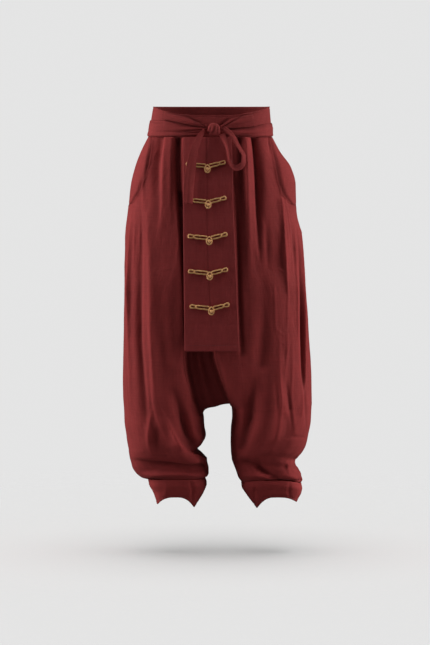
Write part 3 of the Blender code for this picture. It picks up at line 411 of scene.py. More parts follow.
def smooth(low: float, high: float, value: Array) -> Array:
    """Eased step from 0 at low to 1 at high."""
    x = np.clip((value - low) / (high - low), 0.0, 1.0)
    return x * x * (3 - 2 * x)


def bell(distance: Array | float, width: float) -> Array:
    """Rounded bump, 1 high at distance 0."""
    return np.exp(-((distance / width) ** 2))


def power_of(value: Array | float, power: float) -> Array:
    """A power of a number's size, with the number's sign."""
    return np.sign(value) * np.abs(value) ** power


def unit(vectors: Array) -> Array:
    """The same directions at length 1."""
    return vectors / np.maximum(np.linalg.norm(vectors, axis=-1, keepdims=True), TINY)


def run_lengths(points: Array) -> Array:
    """Distance along each row of points from its first point."""
    steps = np.linalg.norm(np.diff(points, axis=1), axis=2)
    return np.concatenate([np.zeros((len(points), 1)), np.cumsum(steps, axis=1)], axis=1)


def run_along(line: Array) -> Array:
    """Distance along one line of points."""
    return run_lengths(line[None])[0]


def read_line(places: Array | float, knots: Array, line: Array) -> Array:
    """Rows of a line's values at places between its knots, in straight steps."""
    return np.stack([np.interp(places, knots, column) for column in line.T], axis=-1)


def read_rows(table: Sequence[Sequence[float]], at: Array | float) -> list[Array]:
    """Value columns of a short table at places along its first column, in straight steps."""
    rows = np.array(sorted(table), float)
    return [np.interp(at, rows[:, 0], column) for column in rows[:, 1:].T]


class Curve:
    """Smooth curve through rows of numbers, by cubic pieces that never overshoot a row."""

    def __init__(self, rows: Sequence[Sequence[float]], knots: Sequence[float]) -> None:
        """Work out the slopes.

        Args:
            rows: The values to pass through.
            knots: The place of each row.
        """
        self.rows = np.array(rows, float)
        self.knots = np.array(knots, float)
        steps = np.diff(self.knots)[:, None]
        secant = np.diff(self.rows, axis=0) / steps
        before, after = secant[:-1], secant[1:]
        lean = 3 * (steps[1:] + steps[:-1])
        near, far = 2 * steps[1:] + steps[:-1], steps[1:] + 2 * steps[:-1]
        turns = before * after <= 0
        safe_before, safe_after = np.where(turns, 1.0, before), np.where(turns, 1.0, after)
        inner = np.where(turns, 0.0, lean / (near / safe_before + far / safe_after))
        self.slope = np.vstack([secant[:1], inner, secant[-1:]])

    def at(self, t: Array | float) -> Array:
        """Values at places along the curve.

        Args:
            t: The places.

        Returns:
            The values, in one more dimension than the places have.
        """
        t = np.clip(np.asarray(t, float), self.knots[0], self.knots[-1])
        k = np.clip(np.searchsorted(self.knots, t, side="right") - 1, 0, len(self.knots) - 2)
        h = (self.knots[k + 1] - self.knots[k])[..., None]
        x = ((t - self.knots[k])[..., None]) / h
        a, b = self.rows[k], self.rows[k + 1]
        ma, mb = self.slope[k] * h, self.slope[k + 1] * h
        return (a * (2 * x**3 - 3 * x**2 + 1) + ma * (x**3 - 2 * x**2 + x)
                + b * (3 * x**2 - 2 * x**3) + mb * (x**3 - x**2))


# ---------------------------------------------------------------- the plain form


def ring_point(row: Array, angle: Array) -> Array:
    """Points of section rings: angle 0 is outer, a quarter turn front, a half turn inner.

    Args:
        row: Section rows, with the middle in X_OUT and the half width in X_IN.
        angle: Angle on each ring.

    Returns:
        Points in millimetres.
    """
    c, s = np.cos(angle), np.sin(angle)
    x = row[..., Column.X_OUT] + row[..., Column.X_IN] * power_of(c, ROUNDING)
    y = np.where(s > 0, row[..., Column.Y_FRONT], row[..., Column.Y_BACK]) * np.abs(s) ** ROUNDING
    z = (c * c * np.where(c > 0, row[..., Column.Z_OUT], row[..., Column.Z_IN])
         + s * s * np.where(s > 0, row[..., Column.Z_FRONT], row[..., Column.Z_BACK]))
    return np.stack([x, y, z], axis=-1)


class Tube:
    """A leg or cuff as section rings along its length."""

    NEAR = 1.5
    NEAR_ANGLE = 0.02
    LEVEL = 30.0

    def __init__(self, side: Side, table: Rows, shared: Array | None = None) -> None:
        """Lay the rings out.

        Args:
            side: Which leg it is.
            table: Section rows.
            shared: The other leg's first steps, so that both legs meet at the middle.
        """
        self.side = side
        rows = np.array(table, float)
        outer, inner = rows[:, Column.X_OUT].copy(), rows[:, Column.X_IN].copy()
        rows[:, Column.X_OUT], rows[:, Column.X_IN] = (outer + inner) / 2, (outer - inner) / 2
        corners = ring_point(rows[:, None, :], (np.arange(4) * math.pi / 2)[None, :])
        self.steps = np.linalg.norm(np.diff(corners, axis=0), axis=2).mean(axis=1)
        if shared is not None:
            self.steps[:CROTCH_ROW] = shared[:CROTCH_ROW]
        self.knots = np.concatenate([[0.0], np.cumsum(self.steps)])
        self.curve = Curve(rows, self.knots)
        self.turn = -1.0 if side is Side.LEFT else 1.0

    def point(self, angle: Array, t: Array) -> Array:
        """Points of the plain form, without folds."""
        return ring_point(self.curve.at(t), angle)

    def normal(self, angle: Array, t: Array) -> Array:
        """Outward directions of the plain form, level beside the waist seam.

        Args:
            angle: Angle on the rings.
            t: Place along the tube.

        Returns:
            Directions of length 1.
        """
        along = self.point(angle, t + self.NEAR) - self.point(angle, t - self.NEAR)
        around = self.point(angle + self.NEAR_ANGLE, t) - self.point(angle - self.NEAR_ANGLE, t)
        n = np.cross(around, along) * self.turn
        n[..., 2] *= smooth(0.0, self.LEVEL, t)
        return unit(n)

    def cut_angle(self, t: Array) -> Array:
        """Angle at which the centre seam or the gusset crosses the rings."""
        cut = np.clip(self.curve.at(t)[..., Column.CUT], 0.0, 1.0)
        return math.pi / 2 + np.arcsin(cut ** (SECTION_POWER / 2))

    def angle_of_x(self, x: Array | float, t: Array) -> Array:
        """Angle of the front half at which the rings have a given x."""
        row = self.curve.at(t)
        return angle_of_share((x - row[..., Column.X_OUT]) / row[..., Column.X_IN])

    def place_at(self, z: float) -> float:
        """Place along the tube at which its outer seam reaches a height."""
        t = np.arange(0.0, self.knots[-1])
        return float(np.interp(-z, -self.curve.at(t)[:, Column.Z_OUT], t))

    def find(self, x: float, z: float, face: Face) -> tuple[float, float]:
        """Where the form's point with a given x and z is.

        Args:
            x: Place across.
            z: Height.
            face: Which face of the form it is on.

        Returns:
            Its angle and its place along the tube.
        """
        every = np.arange(0.0, self.knots[-1], 2.0)
        around = self.angle_of_x(x, every) * face.value
        place = float(np.interp(-z, -self.point(around, every)[:, 2], every))
        return float(self.angle_of_x(x, place)) * face.value, place


def angle_of_share(share: Array | float) -> Array:
    """Angle at which a ring reaches a share, from -1 to 1, of its half width."""
    return np.arccos(power_of(np.clip(share, -1.0, 1.0), SECTION_POWER / 2))


class BandForm:
    """The waistband's ring: angle 0 is left, a quarter turn is front."""

    def point(self, angle: Array, z: Array, out: Array | float) -> Array:
        """Points over the waistband.

        Args:
            angle: Angle round the ring.
            z: Height.
            out: Distance out from the band's face.

        Returns:
            Points in millimetres.
        """
        x_left, x_right, y_front, y_back = read_rows(BAND, z)
        c, s = np.cos(angle), np.sin(angle)
        half = (x_right - x_left) / 2
        depth = np.where(s > 0, y_front, y_back)
        x = (x_left + x_right) / 2 - half * power_of(c, ROUNDING)
        y = depth * np.abs(s) ** ROUNDING
        normal = unit(np.stack([-power_of(c, 2 - ROUNDING) / half,
                                np.abs(s) ** (2 - ROUNDING) / depth], axis=-1))
        return np.stack([x + normal[..., 0] * out, y + normal[..., 1] * out, z + 0 * x], axis=-1)

    def folds(self, angle: Array, z: Array) -> Array:
        """Height of the folds that the tied sash draws across the front."""
        x = self.point(angle, z, 0.0)[..., 0]
        return drawn_folds(BAND_CREASES, x, z, PhotoView()) * (np.sin(angle) > 0)

    def angle(self, x: float, z: float) -> float:
        """Angle of the front at a given x."""
        x_left, x_right, _, _ = read_rows(BAND, z)
        return float(angle_of_share(((x_left + x_right) / 2 - x) / ((x_right - x_left) / 2)))


class ApronForm:
    """The apron's surface in front of the legs."""

    ROWS = 10
    CLEAR = 3.0

    def point(self, x: Array, z: Array, out: Array | float) -> Array:
        """Points over the apron's outer face.

        Args:
            x: Places across.
            z: Heights.
            out: Distance in front of the face.

        Returns:
            Points in millimetres.
        """
        z = np.asarray(z, float)
        columns = (Column.Z_OUT, Column.X_OUT, Column.Y_FRONT)
        left, right = [read_rows([[row[k] for k in columns] for row in leg[:self.ROWS]], z)
                       for leg in (LEFT_LEG, RIGHT_LEG)]
        share = np.abs(x - (left[0] + right[0]) / 2) / ((right[0] - left[0]) / 2)
        y = left[1] * (1 - share ** SECTION_POWER) ** (1 / SECTION_POWER)
        stand = read_rows(APRON_STAND, z)[0] + self.CLEAR + out
        return np.stack([x + 0 * z, y - stand, z + 0 * x], axis=-1)


# ---------------------------------------------------------------- creases on the form


@dataclass(frozen=True)
class PhotoView:
    """Where the picture was taken from: level with the waist, in front of it."""

    column: float = 212.0
    row: float = 122.0
    scale: float = 2.366
    distance: float = 8000.0

    def place(self, column: float, row: float, y: float) -> tuple[float, float]:
        """x and z of a place in the picture, at a depth y, in millimetres."""
        spread = self.scale * (self.distance + y) / self.distance
        return (column - self.column) * spread, (self.row - row) * spread


@dataclass
class Laid:
    """A crease laid on the form: its points, normals, directions and heights."""

    crease: Crease
    points: Array
    normals: Array
    along: Array
    heights: Array


def drawn_line(crease: Crease, steps: int) -> Array:
    """A crease's line, with so many steps between its points."""
    last = len(crease.line) - 1
    return Curve(crease.line, range(last + 1)).at(np.linspace(0, last, steps * last + 1))


def fold_shape(d: Array, pinch: float) -> Array:
    """Height of a fold of height 1 at a distance from its line, as a share of its reach."""
    sharp = np.exp(-PINCH_FALL * (np.sqrt(d**2 + PINCH_TIP**2) - PINCH_TIP))
    return (1 - pinch) * bell(d, 1.0) + pinch * sharp


def reach_at(crease: Crease, across: Array, run: Array) -> Array:
    """A crease's reach beside its line, turning evenly round the line's ends.

    Args:
        crease: Whose reach is read.
        across: Distance to the right of the line.
        run: Distance past the nearer end of the line, 0 beside it.

    Returns:
        Reaches in millimetres.
    """
    left, right = crease.reach
    return left + (right - left) * (0.5 + 0.5 * across / np.sqrt(across**2 + run**2 + 1e-9))


def drawn_folds(creases: Sequence[Crease], x: Array, z: Array, view: PhotoView) -> Array:
    """Height of creases drawn across the front of the waist, read from straight in front.

    Args:
        creases: What is drawn.
        x: Places across, in millimetres.
        z: Heights.
        view: How places in the picture are read.

    Returns:
        Heights in millimetres.
    """
    points = np.stack([x.ravel(), z.ravel()], axis=1)
    total = np.zeros(len(points))
    for crease in creases:
        flat = drawn_line(crease, BAND_STEPS)
        line = np.stack(view.place(flat[:, 0], flat[:, 1], BAND_DEPTH), axis=1)
        along = unit(np.gradient(line, axis=0))
        gap = np.linalg.norm(points[:, None] - line[None], axis=2)
        k = np.argmin(gap, axis=1)
        away = points - line[k]
        side = away[:, 1] * along[k, 0] - away[:, 0] * along[k, 1]
        d = np.min(gap, axis=1) / reach_at(crease, side, np.sum(away * along[k], axis=1))
        height = np.interp(k, np.linspace(0, len(line) - 1, 3), crease.heights)
        total += height * fold_shape(d, crease.pinch)
    return total.reshape(x.shape)


class Relief:
    """Creases laid on a pair of tubes, read as a height over any of their points."""

    STEPS = 8
    SPACING = 2.5
    DEPTH = -120.0

    def __init__(self, tubes: dict[Side, Tube], creases: Sequence[Crease], view: PhotoView) -> None:
        """Lay the creases.

        Args:
            tubes: Both legs, or both cuffs.
            creases: What to lay on them.
            view: How places in the picture are read.
        """
        self.laid = [self.lay(tubes, crease, view) for crease in creases]

    def lay(self, tubes: dict[Side, Tube], crease: Crease, view: PhotoView) -> Laid:
        """Lay one crease on the form.

        Args:
            tubes: Both legs, or both cuffs.
            crease: What to lay.
            view: How places in the picture are read.

        Returns:
            The crease's line on the form, evenly spaced.
        """
        flat = drawn_line(crease, self.STEPS)
        middle = view.column if crease.units is Units.PHOTO else 0.0
        tube = tubes[Side.LEFT if flat[:, 0].mean() < middle else Side.RIGHT]
        angles, places = np.zeros(len(flat)), np.zeros(len(flat))
        depth = self.DEPTH * crease.face.value
        for k, (a, b) in enumerate(flat):
            if crease.units is Units.FORM:
                angles[k], places[k] = tube.find(a, b, crease.face)
                continue
            for _ in range(2):
                angles[k], places[k] = tube.find(*view.place(a, b, depth), crease.face)
                depth = float(tube.point(angles[k], places[k])[1])
        coarse = tube.point(angles, places)
        run = run_along(coarse)
        fine = np.linspace(0.0, run[-1], max(4, int(run[-1] / self.SPACING)))
        points = read_line(fine, run, coarse)
        normals = read_line(fine, run, tube.normal(angles, places))
        share = np.interp(fine, run, np.linspace(0, 2, len(flat)))
        heights = np.interp(share, range(3), crease.heights)
        return Laid(crease, points, normals, unit(np.gradient(points, axis=0)), heights)

    def at(self, points: Array) -> Array:
        """Height of all creases over points.

        Args:
            points: Points of the plain form.

        Returns:
            Heights in millimetres.
        """
        flat = points.reshape(-1, 3)
        total = np.zeros(len(flat))
        for laid in self.laid:
            span = 3 * max(laid.crease.reach)
            low, high = laid.points.min(axis=0) - span, laid.points.max(axis=0) + span
            near = np.flatnonzero(np.all((flat > low) & (flat < high), axis=1))
            if len(near):
                total[near] += self.over(laid, flat[near])
        return total.reshape(points.shape[:-1])

    def over(self, laid: Laid, points: Array) -> Array:
        """Height of one crease over points near it.

        Args:
            laid: The crease.
            points: Points of the plain form.

        Returns:
            Heights in millimetres.
        """
        k = np.argmin(np.linalg.norm(points[:, None, :] - laid.points[None], axis=2), axis=1)
        away = points - laid.points[k]
        run = np.sum(away * laid.along[k], axis=1)
        step = np.linalg.norm(laid.points[1] - laid.points[0])
        run -= np.clip(run, -step, step)
        across = np.sum(away * np.cross(laid.along[k], laid.normals[k]), axis=1)
        lift = np.sum(away * laid.normals[k], axis=1)
        distance = np.sqrt(across**2 + lift**2 + run**2)
        d = distance / reach_at(laid.crease, -across * laid.crease.face.value, run)
        return laid.heights[k] * fold_shape(d, laid.crease.pinch)


class Crumple:
    """Soft random crumple of cloth: value noise on a seeded lattice."""

    SIZE = 97
    START = (31.7, 17.3)

    def __init__(self, seed: int) -> None:
        """Draw the lattice from a seed."""
        self.lattice = np.random.default_rng(seed).uniform(-1, 1, (self.SIZE, self.SIZE))

    def at(self, u: Array, v: Array, cell_u: float, cell_v: float) -> Array:
        """Noise over the cloth.

        Args:
            u: Places across, in millimetres.
            v: Places along.
            cell_u: Width of the lattice's cells.
            cell_v: Their length.

        Returns:
            Values from -1 to 1.
        """
        x, y = u / cell_u + self.START[0], v / cell_v + self.START[1]
        i, j = np.floor(x).astype(int), np.floor(y).astype(int)
        fx, fy = smooth(0, 1, x - i), smooth(0, 1, y - j)
        i, j, size = i % self.SIZE, j % self.SIZE, self.SIZE
        low, high = [self.lattice[i, row] * (1 - fx) + self.lattice[(i + 1) % size, row] * fx
                     for row in (j, (j + 1) % size)]
        return low * (1 - fy) + high * fy

    def drape(self, u: Array, v: Array) -> Array:
        """Uneven drape of hung linen, in millimetres: long soft folds and a fine crumple."""
        return (0.5 * self.at(u, v, 19.0, 170.0) + 0.22 * self.at(v * 0.1 + u, v, 8.0, 70.0)
                + 0.1 * self.at(u, v, 5.0, 7.0))


# ---------------------------------------------------------------- shader maths


class Wire:
    """A shader socket on which Python's operators add Math nodes."""

    def __init__(self, shader: "Shader", socket: bpy.types.NodeSocket) -> None:
        """Wrap a socket of a shader."""
        self.shader = shader
        self.socket = socket

    def _do(self, operation: str, *values: "Wire | float") -> "Wire":
        """Add a Math node."""
        return self.shader.node("ShaderNodeMath", {"operation": operation}, dict(enumerate(values)))

    def __add__(self, other: "Wire | float") -> "Wire":
        """Sum."""
        return self._do("ADD", self, other)

    def __mul__(self, other: "Wire | float") -> "Wire":
        """Product."""
        return self._do("MULTIPLY", self, other)

    def sine(self) -> "Wire":
        """Sine."""
        return self._do("SINE", self)


class Shader:
    """A material's node tree, filled by one method."""

    def __init__(self, name: str) -> None:
        """Start a material with its Principled shader."""
        self.material = bpy.data.materials.new(name)
        self.material.use_nodes = True
        self.tree = self.material.node_tree
        self.principled = self.tree.nodes["Principled BSDF"]

    def node(self, kind: str, settings: dict[str, object], values: dict[object, object],
             out: int | str = 0) -> Wire:
        """Add a node.

        Args:
            kind: The node's type name.
            settings: Its properties, set first.
            values: A value or Wire for each input, by name or number.
            out: Which output to hand back.

        Returns:
            The output, wrapped.
        """
        made = self.tree.nodes.new(kind)
        for key, value in settings.items():
            setattr(made, key, value)
        for key, value in values.items():
            self.feed(made.inputs[key], value)
        return Wire(self, made.outputs[out])

    def feed(self, socket: bpy.types.NodeSocket, value: object) -> None:
        """Link a Wire to a socket, or set its value."""
        if isinstance(value, Wire):
            self.tree.links.new(value.socket, socket)
        else:
            socket.default_value = value

    def dress(self, values: dict[str, object]) -> bpy.types.Material:
        """Feed the Principled shader's sockets by name, and hand back the material."""
        for key, value in values.items():
            self.feed(self.principled.inputs[key], value)
        return self.material

    def place(self) -> Wire:
        """Object coordinates."""
        return self.node("ShaderNodeTexCoord", {}, {}, "Object")

    def noise(self, where: Wire, scale: float, detail: float, roughness: float = 0.5) -> Wire:
        """Noise from 0 to 1 at a vector."""
        return self.node("ShaderNodeTexNoise", {"noise_dimensions": "3D"}, {
            "Vector": where, "Scale": scale, "Detail": detail, "Roughness": roughness})

    def grain(self, cloth: Wire, across: float, along: float, detail: float = 2.0,
              roughness: float = 0.5) -> Wire:
        """Noise of its own scale across and along the cloth."""
        where = self.node("ShaderNodeMapping", {}, {"Vector": cloth, "Scale": (across, along, 1.0)})
        return self.noise(where, 1.0, detail, roughness)

    def blend(self, share: Wire | float, a: object, b: object) -> Wire:
        """Mix of two colours by a share from 0 to 1."""
        return self.node("ShaderNodeMix", {"data_type": "RGBA", "clamp_factor": True},
                         {0: share, 6: a, 7: b}, 2)

    def range(self, value: Wire, low: float, high: float, to_low: float, to_high: float) -> Wire:
        """A value's range moved to another one, held at its ends."""
        return self.node("ShaderNodeMapRange", {"clamp": True},
                         {0: value, 1: low, 2: high, 3: to_low, 4: to_high})

    def bump(self, height: Wire, strength: float, distance: float) -> Wire:
        """Normals bumped by a height."""
        return self.node("ShaderNodeBump", {},
                         {"Strength": strength, "Distance": distance, "Height": height})


def rgba(colour: Colour, by: float = 1.0) -> tuple[float, float, float, float]:
    """A linear colour with alpha, made lighter or darker."""
    return (colour[0] * by, colour[1] * by, colour[2] * by, 1.0)


@dataclass(frozen=True)
class LinenFinish:
    """Plain-weave linen: uneven yarns, a dry soft sheen and a little crumple, with painted shade in
    fold troughs and painted highlight on fold crests.
    """

    name: str
    colour: Colour
    slot: str
    yarn_width: float = 0.75
    contrast: float = 0.2
    bump: float = 0.5
    bump_height: float = 0.0006
    # hollow is the share of painted shade in fold troughs, crest the share of painted highlight on
    # fold crests.
    hollow: float = 0.4
    hollow_shade: float = 0.3
    crest: float = 0.4
    crest_highlight: float = 1.6
    sheen: float = 0.08
    sheen_tint: Colour = (0.9, 0.22, 0.18)
    sheen_roughness: float = 0.4
    specular: float = 0.14
    yarn: tuple[float, float] = (900.0, 45.0)
    slub: tuple[tuple[float, float], tuple[float, float]] = ((260.0, 16.0), (14.0, 300.0))
    cloud: tuple[float, float, float] = (30.0, 12.0, 3.0)
    crush: tuple[float, float, float, float] = (190.0, 50.0, 4.0, 0.6)
    tone_mix: tuple[float, float, float] = (0.45, 0.3, 0.25)
    tone_span: tuple[float, float] = (0.36, 0.64)
    height_mix: tuple[float, float, float, float] = (0.25, 1.4, 2.6, 0.8)
    crush_span: tuple[float, float] = (0.3, 0.7)
    roughness: tuple[float, float] = (0.78, 0.92)

    def make(self) -> bpy.types.Material:
        """Build the material.

        Returns:
            The material; the UV map Cloth is in metres along the yarns, and the fold shading
            attribute goes from -1 in a trough, painted darker as shade, to 1 on a crest, painted
            lighter as a highlight.
        """
        shader = Shader(self.name)
        uv = shader.node("ShaderNodeUVMap", {"uv_map": "Cloth"}, {})
        across, along = [shader.node("ShaderNodeSeparateXYZ", {}, {"Vector": uv}, out)
                         for out in (0, 1)]
        turn = 2 * math.pi / (self.yarn_width * MM)
        weave = (across * turn).sine() * (along * turn).sine()
        yarn = shader.grain(uv, *self.yarn) * 0.5 + shader.grain(uv, *self.yarn[::-1]) * 0.5
        slub = shader.grain(uv, *self.slub[0]) * 0.5 + shader.grain(uv, *self.slub[1]) * 0.5
        cloud, crush = shader.grain(uv, *self.cloud), shader.grain(uv, *self.crush)
        by_yarn, by_slub, by_cloud = self.tone_mix
        tone = shader.range(yarn * by_yarn + slub * by_slub + cloud * by_cloud,
                            *self.tone_span, 0.0, 1.0)
        plain = shader.blend(tone, rgba(self.colour, 1 - self.contrast),
                             rgba(self.colour, 1 + self.contrast))
        fold = shader.node("ShaderNodeAttribute", {"attribute_name": "PaintedFoldShading"}, {}, "Fac")
        # Painted highlight toward the fold crests, then painted shade toward the fold troughs.
        crest_lit = shader.blend(shader.range(fold, 0.0, 1.0, 0.0, self.crest), plain,
                            rgba(self.colour, self.crest_highlight))
        base = shader.blend(shader.range(fold, -1.0, 0.0, self.hollow, 0.0), crest_lit,
                            rgba(self.colour, self.hollow_shade))
        by_weave, by_yarn, by_crush, by_slub = self.height_mix
        height = weave * by_weave + yarn * by_yarn + crush * by_crush + slub * by_slub
        return shader.dress({
            "Base Color": base,
            "Roughness": shader.range(crush, *self.crush_span, *self.roughness),
            "Normal": shader.bump(height, self.bump, self.bump_height),
            "Sheen Weight": self.sheen, "Sheen Roughness": self.sheen_roughness,
            "Sheen Tint": rgba(self.sheen_tint), "Specular IOR Level": self.specular,
        })


@dataclass(frozen=True)
class CordFinish:
    """Twisted straw-gold cord: pale threads over darker ones, with a soft shine."""

    name: str
    light: Colour
    dark: Colour
    slot: str
    roughness: tuple[float, float] = (0.42, 0.6)
    fibre_size: float = 1500.0
    patch_size: float = 260.0
    fibre_share: float = 0.55
    tone_span: tuple[float, float] = (0.35, 0.65)
    fibre_span: tuple[float, float] = (0.3, 0.7)
    bump: float = 0.5
    bump_height: float = 0.0003
    sheen: float = 0.15

    def make(self) -> bpy.types.Material:
        """Build the material.

        Returns:
            The material, from Object coordinates.
        """
        shader = Shader(self.name)
        where = shader.place()
        fibre = shader.noise(where, self.fibre_size, 3.0)
        patch = shader.noise(where, self.patch_size, 2.0)
        tone = shader.range(fibre * self.fibre_share + patch * (1 - self.fibre_share),
                            *self.tone_span, 0.0, 1.0)
        return shader.dress({
            "Base Color": shader.blend(tone, rgba(self.dark), rgba(self.light)),
            "Roughness": shader.range(fibre, *self.fibre_span, *self.roughness),
            "Normal": shader.bump(fibre, self.bump, self.bump_height),
            "Sheen Weight": self.sheen,
        })


@dataclass(frozen=True)
class FloorFinish:
    """Plain pale floor that fades out into the backdrop far from the garment."""

    name: str = "pale_floor"
    tone: float = 0.95
    glow: float = 0.362
    bounce: float = 0.25
    fade_from: float = 0.45
    fade_to: float = 1.9

    def make(self) -> bpy.types.Material:
        """Build the material.

        Returns:
            The material, from Object coordinates.
        """
        shader = Shader(self.name)
        where = shader.place()
        far = shader.node("ShaderNodeVectorMath", {"operation": "LENGTH"}, {0: where}, "Value")
        fade = shader.range(far, self.fade_from, self.fade_to, 0.0, 1.0)
        seen = shader.node("ShaderNodeLightPath", {}, {}, "Is Camera Ray")
        base = shader.blend(seen, rgba(WHITE, self.bounce), rgba(WHITE, self.tone))
        glow = shader.blend(seen, rgba(WHITE, 0.0), rgba((1.0, 1.0, 0.99), self.glow))
        shader.dress({"Base Color": base, "Roughness": 0.95, "Specular IOR Level": 0.0,
                      "Emission Color": glow, "Emission Strength": 1.0})
        clear = shader.node("ShaderNodeBsdfTransparent", {}, {})
        surface = Wire(shader, shader.principled.outputs[0])
        mixed = shader.node("ShaderNodeMixShader", {}, {0: fade, 1: surface, 2: clear})
        shader.feed(shader.tree.nodes["Material Output"].inputs["Surface"], mixed)
        return shader.material


WHITE: Colour = (1.0, 1.0, 1.0)
LINEN = LinenFinish("linen_body", (0.228, 0.0280, 0.0275), "linen")
LINEN_BAND = LinenFinish("linen_waist", (0.225, 0.0295, 0.0290), "linen_band")
LINEN_APRON = LinenFinish("linen_panel", (0.228, 0.0285, 0.0290), "linen_apron", contrast=0.16)
GOLD = CordFinish("straw_gold_cord", (0.86, 0.47, 0.17), (0.48, 0.22, 0.07), "gold_cord")
THREAD = CordFinish("sewing_thread", (0.16, 0.022, 0.024), (0.09, 0.012, 0.014), "linen",
                    roughness=(0.62, 0.8))


class Wardrobe:
    """Every finish, made once."""

    def __init__(self) -> None:
        """Start with nothing made."""
        self.made: dict[str, bpy.types.Material] = {}

    def get(self, finish: LinenFinish | CordFinish | FloorFinish) -> bpy.types.Material:
        """The finish's material."""
        if finish.name not in self.made:
            self.made[finish.name] = finish.make()
        return self.made[finish.name]


# ---------------------------------------------------------------- meshes and pieces


def link(name: str, data: bpy.types.ID) -> bpy.types.Object:
    """Put a new object in the scene.

    Args:
        name: The object's name.
        data: Its mesh, light or camera.

    Returns:
        The object.
    """
    made = bpy.data.objects.new(name, data)
    bpy.context.scene.collection.objects.link(made)
    return made


def to_mesh(cage: bmesh.types.BMesh, name: str) -> bpy.types.Mesh:
    """Turn a cage into a smoothly shaded mesh.

    Args:
        cage: The cage, which is freed.
        name: The mesh's name.

    Returns:
        The mesh.
    """
    mesh = bpy.data.meshes.new(name)
    cage.to_mesh(mesh)
    cage.free()
    mesh.shade_smooth()
    return mesh


def vertex_places(mesh: bpy.types.Mesh) -> Array:
    """Coordinates of a mesh's vertices, in metres."""
    flat = np.zeros(len(mesh.vertices) * 3)
    mesh.vertices.foreach_get("co", flat)
    return flat.reshape(-1, 3)


def lay_cloth(mesh: bpy.types.Mesh, cloth: Array) -> None:
    """Write the UV map Cloth.

    Args:
        mesh: The mesh.
        cloth: Each vertex's place on the flat cloth, in metres.
    """
    corners = np.zeros(len(mesh.loops), dtype=np.int32)
    mesh.loops.foreach_get("vertex_index", corners)
    mesh.uv_layers.new(name="Cloth").data.foreach_set("uv", cloth[corners].ravel())


def fold_shading(relief: Array, reach: tuple[int, int], full: float = 6.0) -> Array:
    """How deep in a fold, or how far up on one, each point of a grid is, for painted shade in the
    troughs and painted highlight on the crests.

    Args:
        relief: Heights over the plain form, in millimetres.
        reach: Rows and columns to each side that a height is compared with.
        full: Difference that counts as all the way.

    Returns:
        Values from -1 in a trough to 1 on a crest.
    """
    around = relief
    for axis, size in enumerate(reach):
        ends = [(size, size) if axis == k else (0, 0) for k in range(2)]
        sums = np.cumsum(np.pad(around, ends, mode="edge"), axis=axis)
        sums = np.concatenate([np.zeros_like(np.take(sums, [0], axis=axis)), sums], axis=axis)
        steps, count = 2 * size + 1, around.shape[axis]
        around = (np.take(sums, range(steps, steps + count), axis=axis)
                  - np.take(sums, range(count), axis=axis)) / steps
    return np.clip((relief - around) / full, -1.0, 1.0)


@dataclass
class Piece:
    """One finished piece on its way into the model."""

    name: str
    mesh: bpy.types.Mesh
    finish: LinenFinish | CordFinish
    stands_for: tuple[str, ...] = ()
    wall: float = 0.0

    def place(self, wardrobe: Wardrobe) -> bpy.types.Object:
        """Link the piece, give it its wall and finish, and ride it on the garment.

        Args:
            wardrobe: Where its material is made.

        Returns:
            The piece's object.
        """
        self.mesh.materials.append(wardrobe.get(self.finish))
        made = link(self.name, self.mesh)
        if self.wall:
            solid = made.modifiers.new("Wall", "SOLIDIFY")
            solid.thickness, solid.offset = self.wall * MM, -1.0
        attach(made, "root")
        if self.stands_for:
            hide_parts(*self.stands_for)
        LOG.info("%s: %d faces", self.name, len(self.mesh.polygons))
        return made


def sheet(name: str, points: Array, cloth: tuple[Array, Array], outward: Sequence[float],
          finish: LinenFinish, wall: float, tone: Array | None = None) -> Piece:
    """A piece of cloth over a table of points.

    Args:
        name: The solid that it stands for.
        points: Rows and columns of points, in millimetres.
        cloth: Where each is across and along the flat cloth, in millimetres.
        outward: A direction that the cloth faces, roughly.
        finish: What it is made of.
        wall: Its thickness inwards.
        tone: How deep in a fold each point is, from -1 to 1, as worked out from the fold heights;
            painted as shade in a trough and as highlight on a crest.

    Returns:
        The piece, with the UV map Cloth and the attribute of painted fold shade and highlight.
    """
    rows, columns = points.shape[:2]
    cage = bmesh.new()
    bmesh.ops.create_grid(cage, x_segments=columns - 1, y_segments=rows - 1, size=1.0)
    mesh = to_mesh(cage, f"{name}_cloth")
    flat = vertex_places(mesh)
    i, j = [np.rint((flat[:, axis] + 1) / 2 * (count - 1)).astype(int)
            for axis, count in enumerate((columns, rows))]
    mesh.vertices.foreach_set("co", (points[j, i] * MM).ravel())
    lay_cloth(mesh, np.stack(cloth, axis=-1)[j, i] * MM)
    # The painted fold shade and highlight, read by the linen's colour.
    if tone is not None:
        mesh.attributes.new("PaintedFoldShading", "FLOAT", "POINT").data.foreach_set("value", tone[j, i].ravel())
    mesh.update()
    if mesh.polygons[len(mesh.polygons) // 2].normal.dot(Vector(outward)) < 0:
        mesh.flip_normals()
    return Piece(f"{name}_cloth", mesh, finish, (name,), wall)


# ---------------------------------------------------------------- legs, pockets, gusset, cuffs


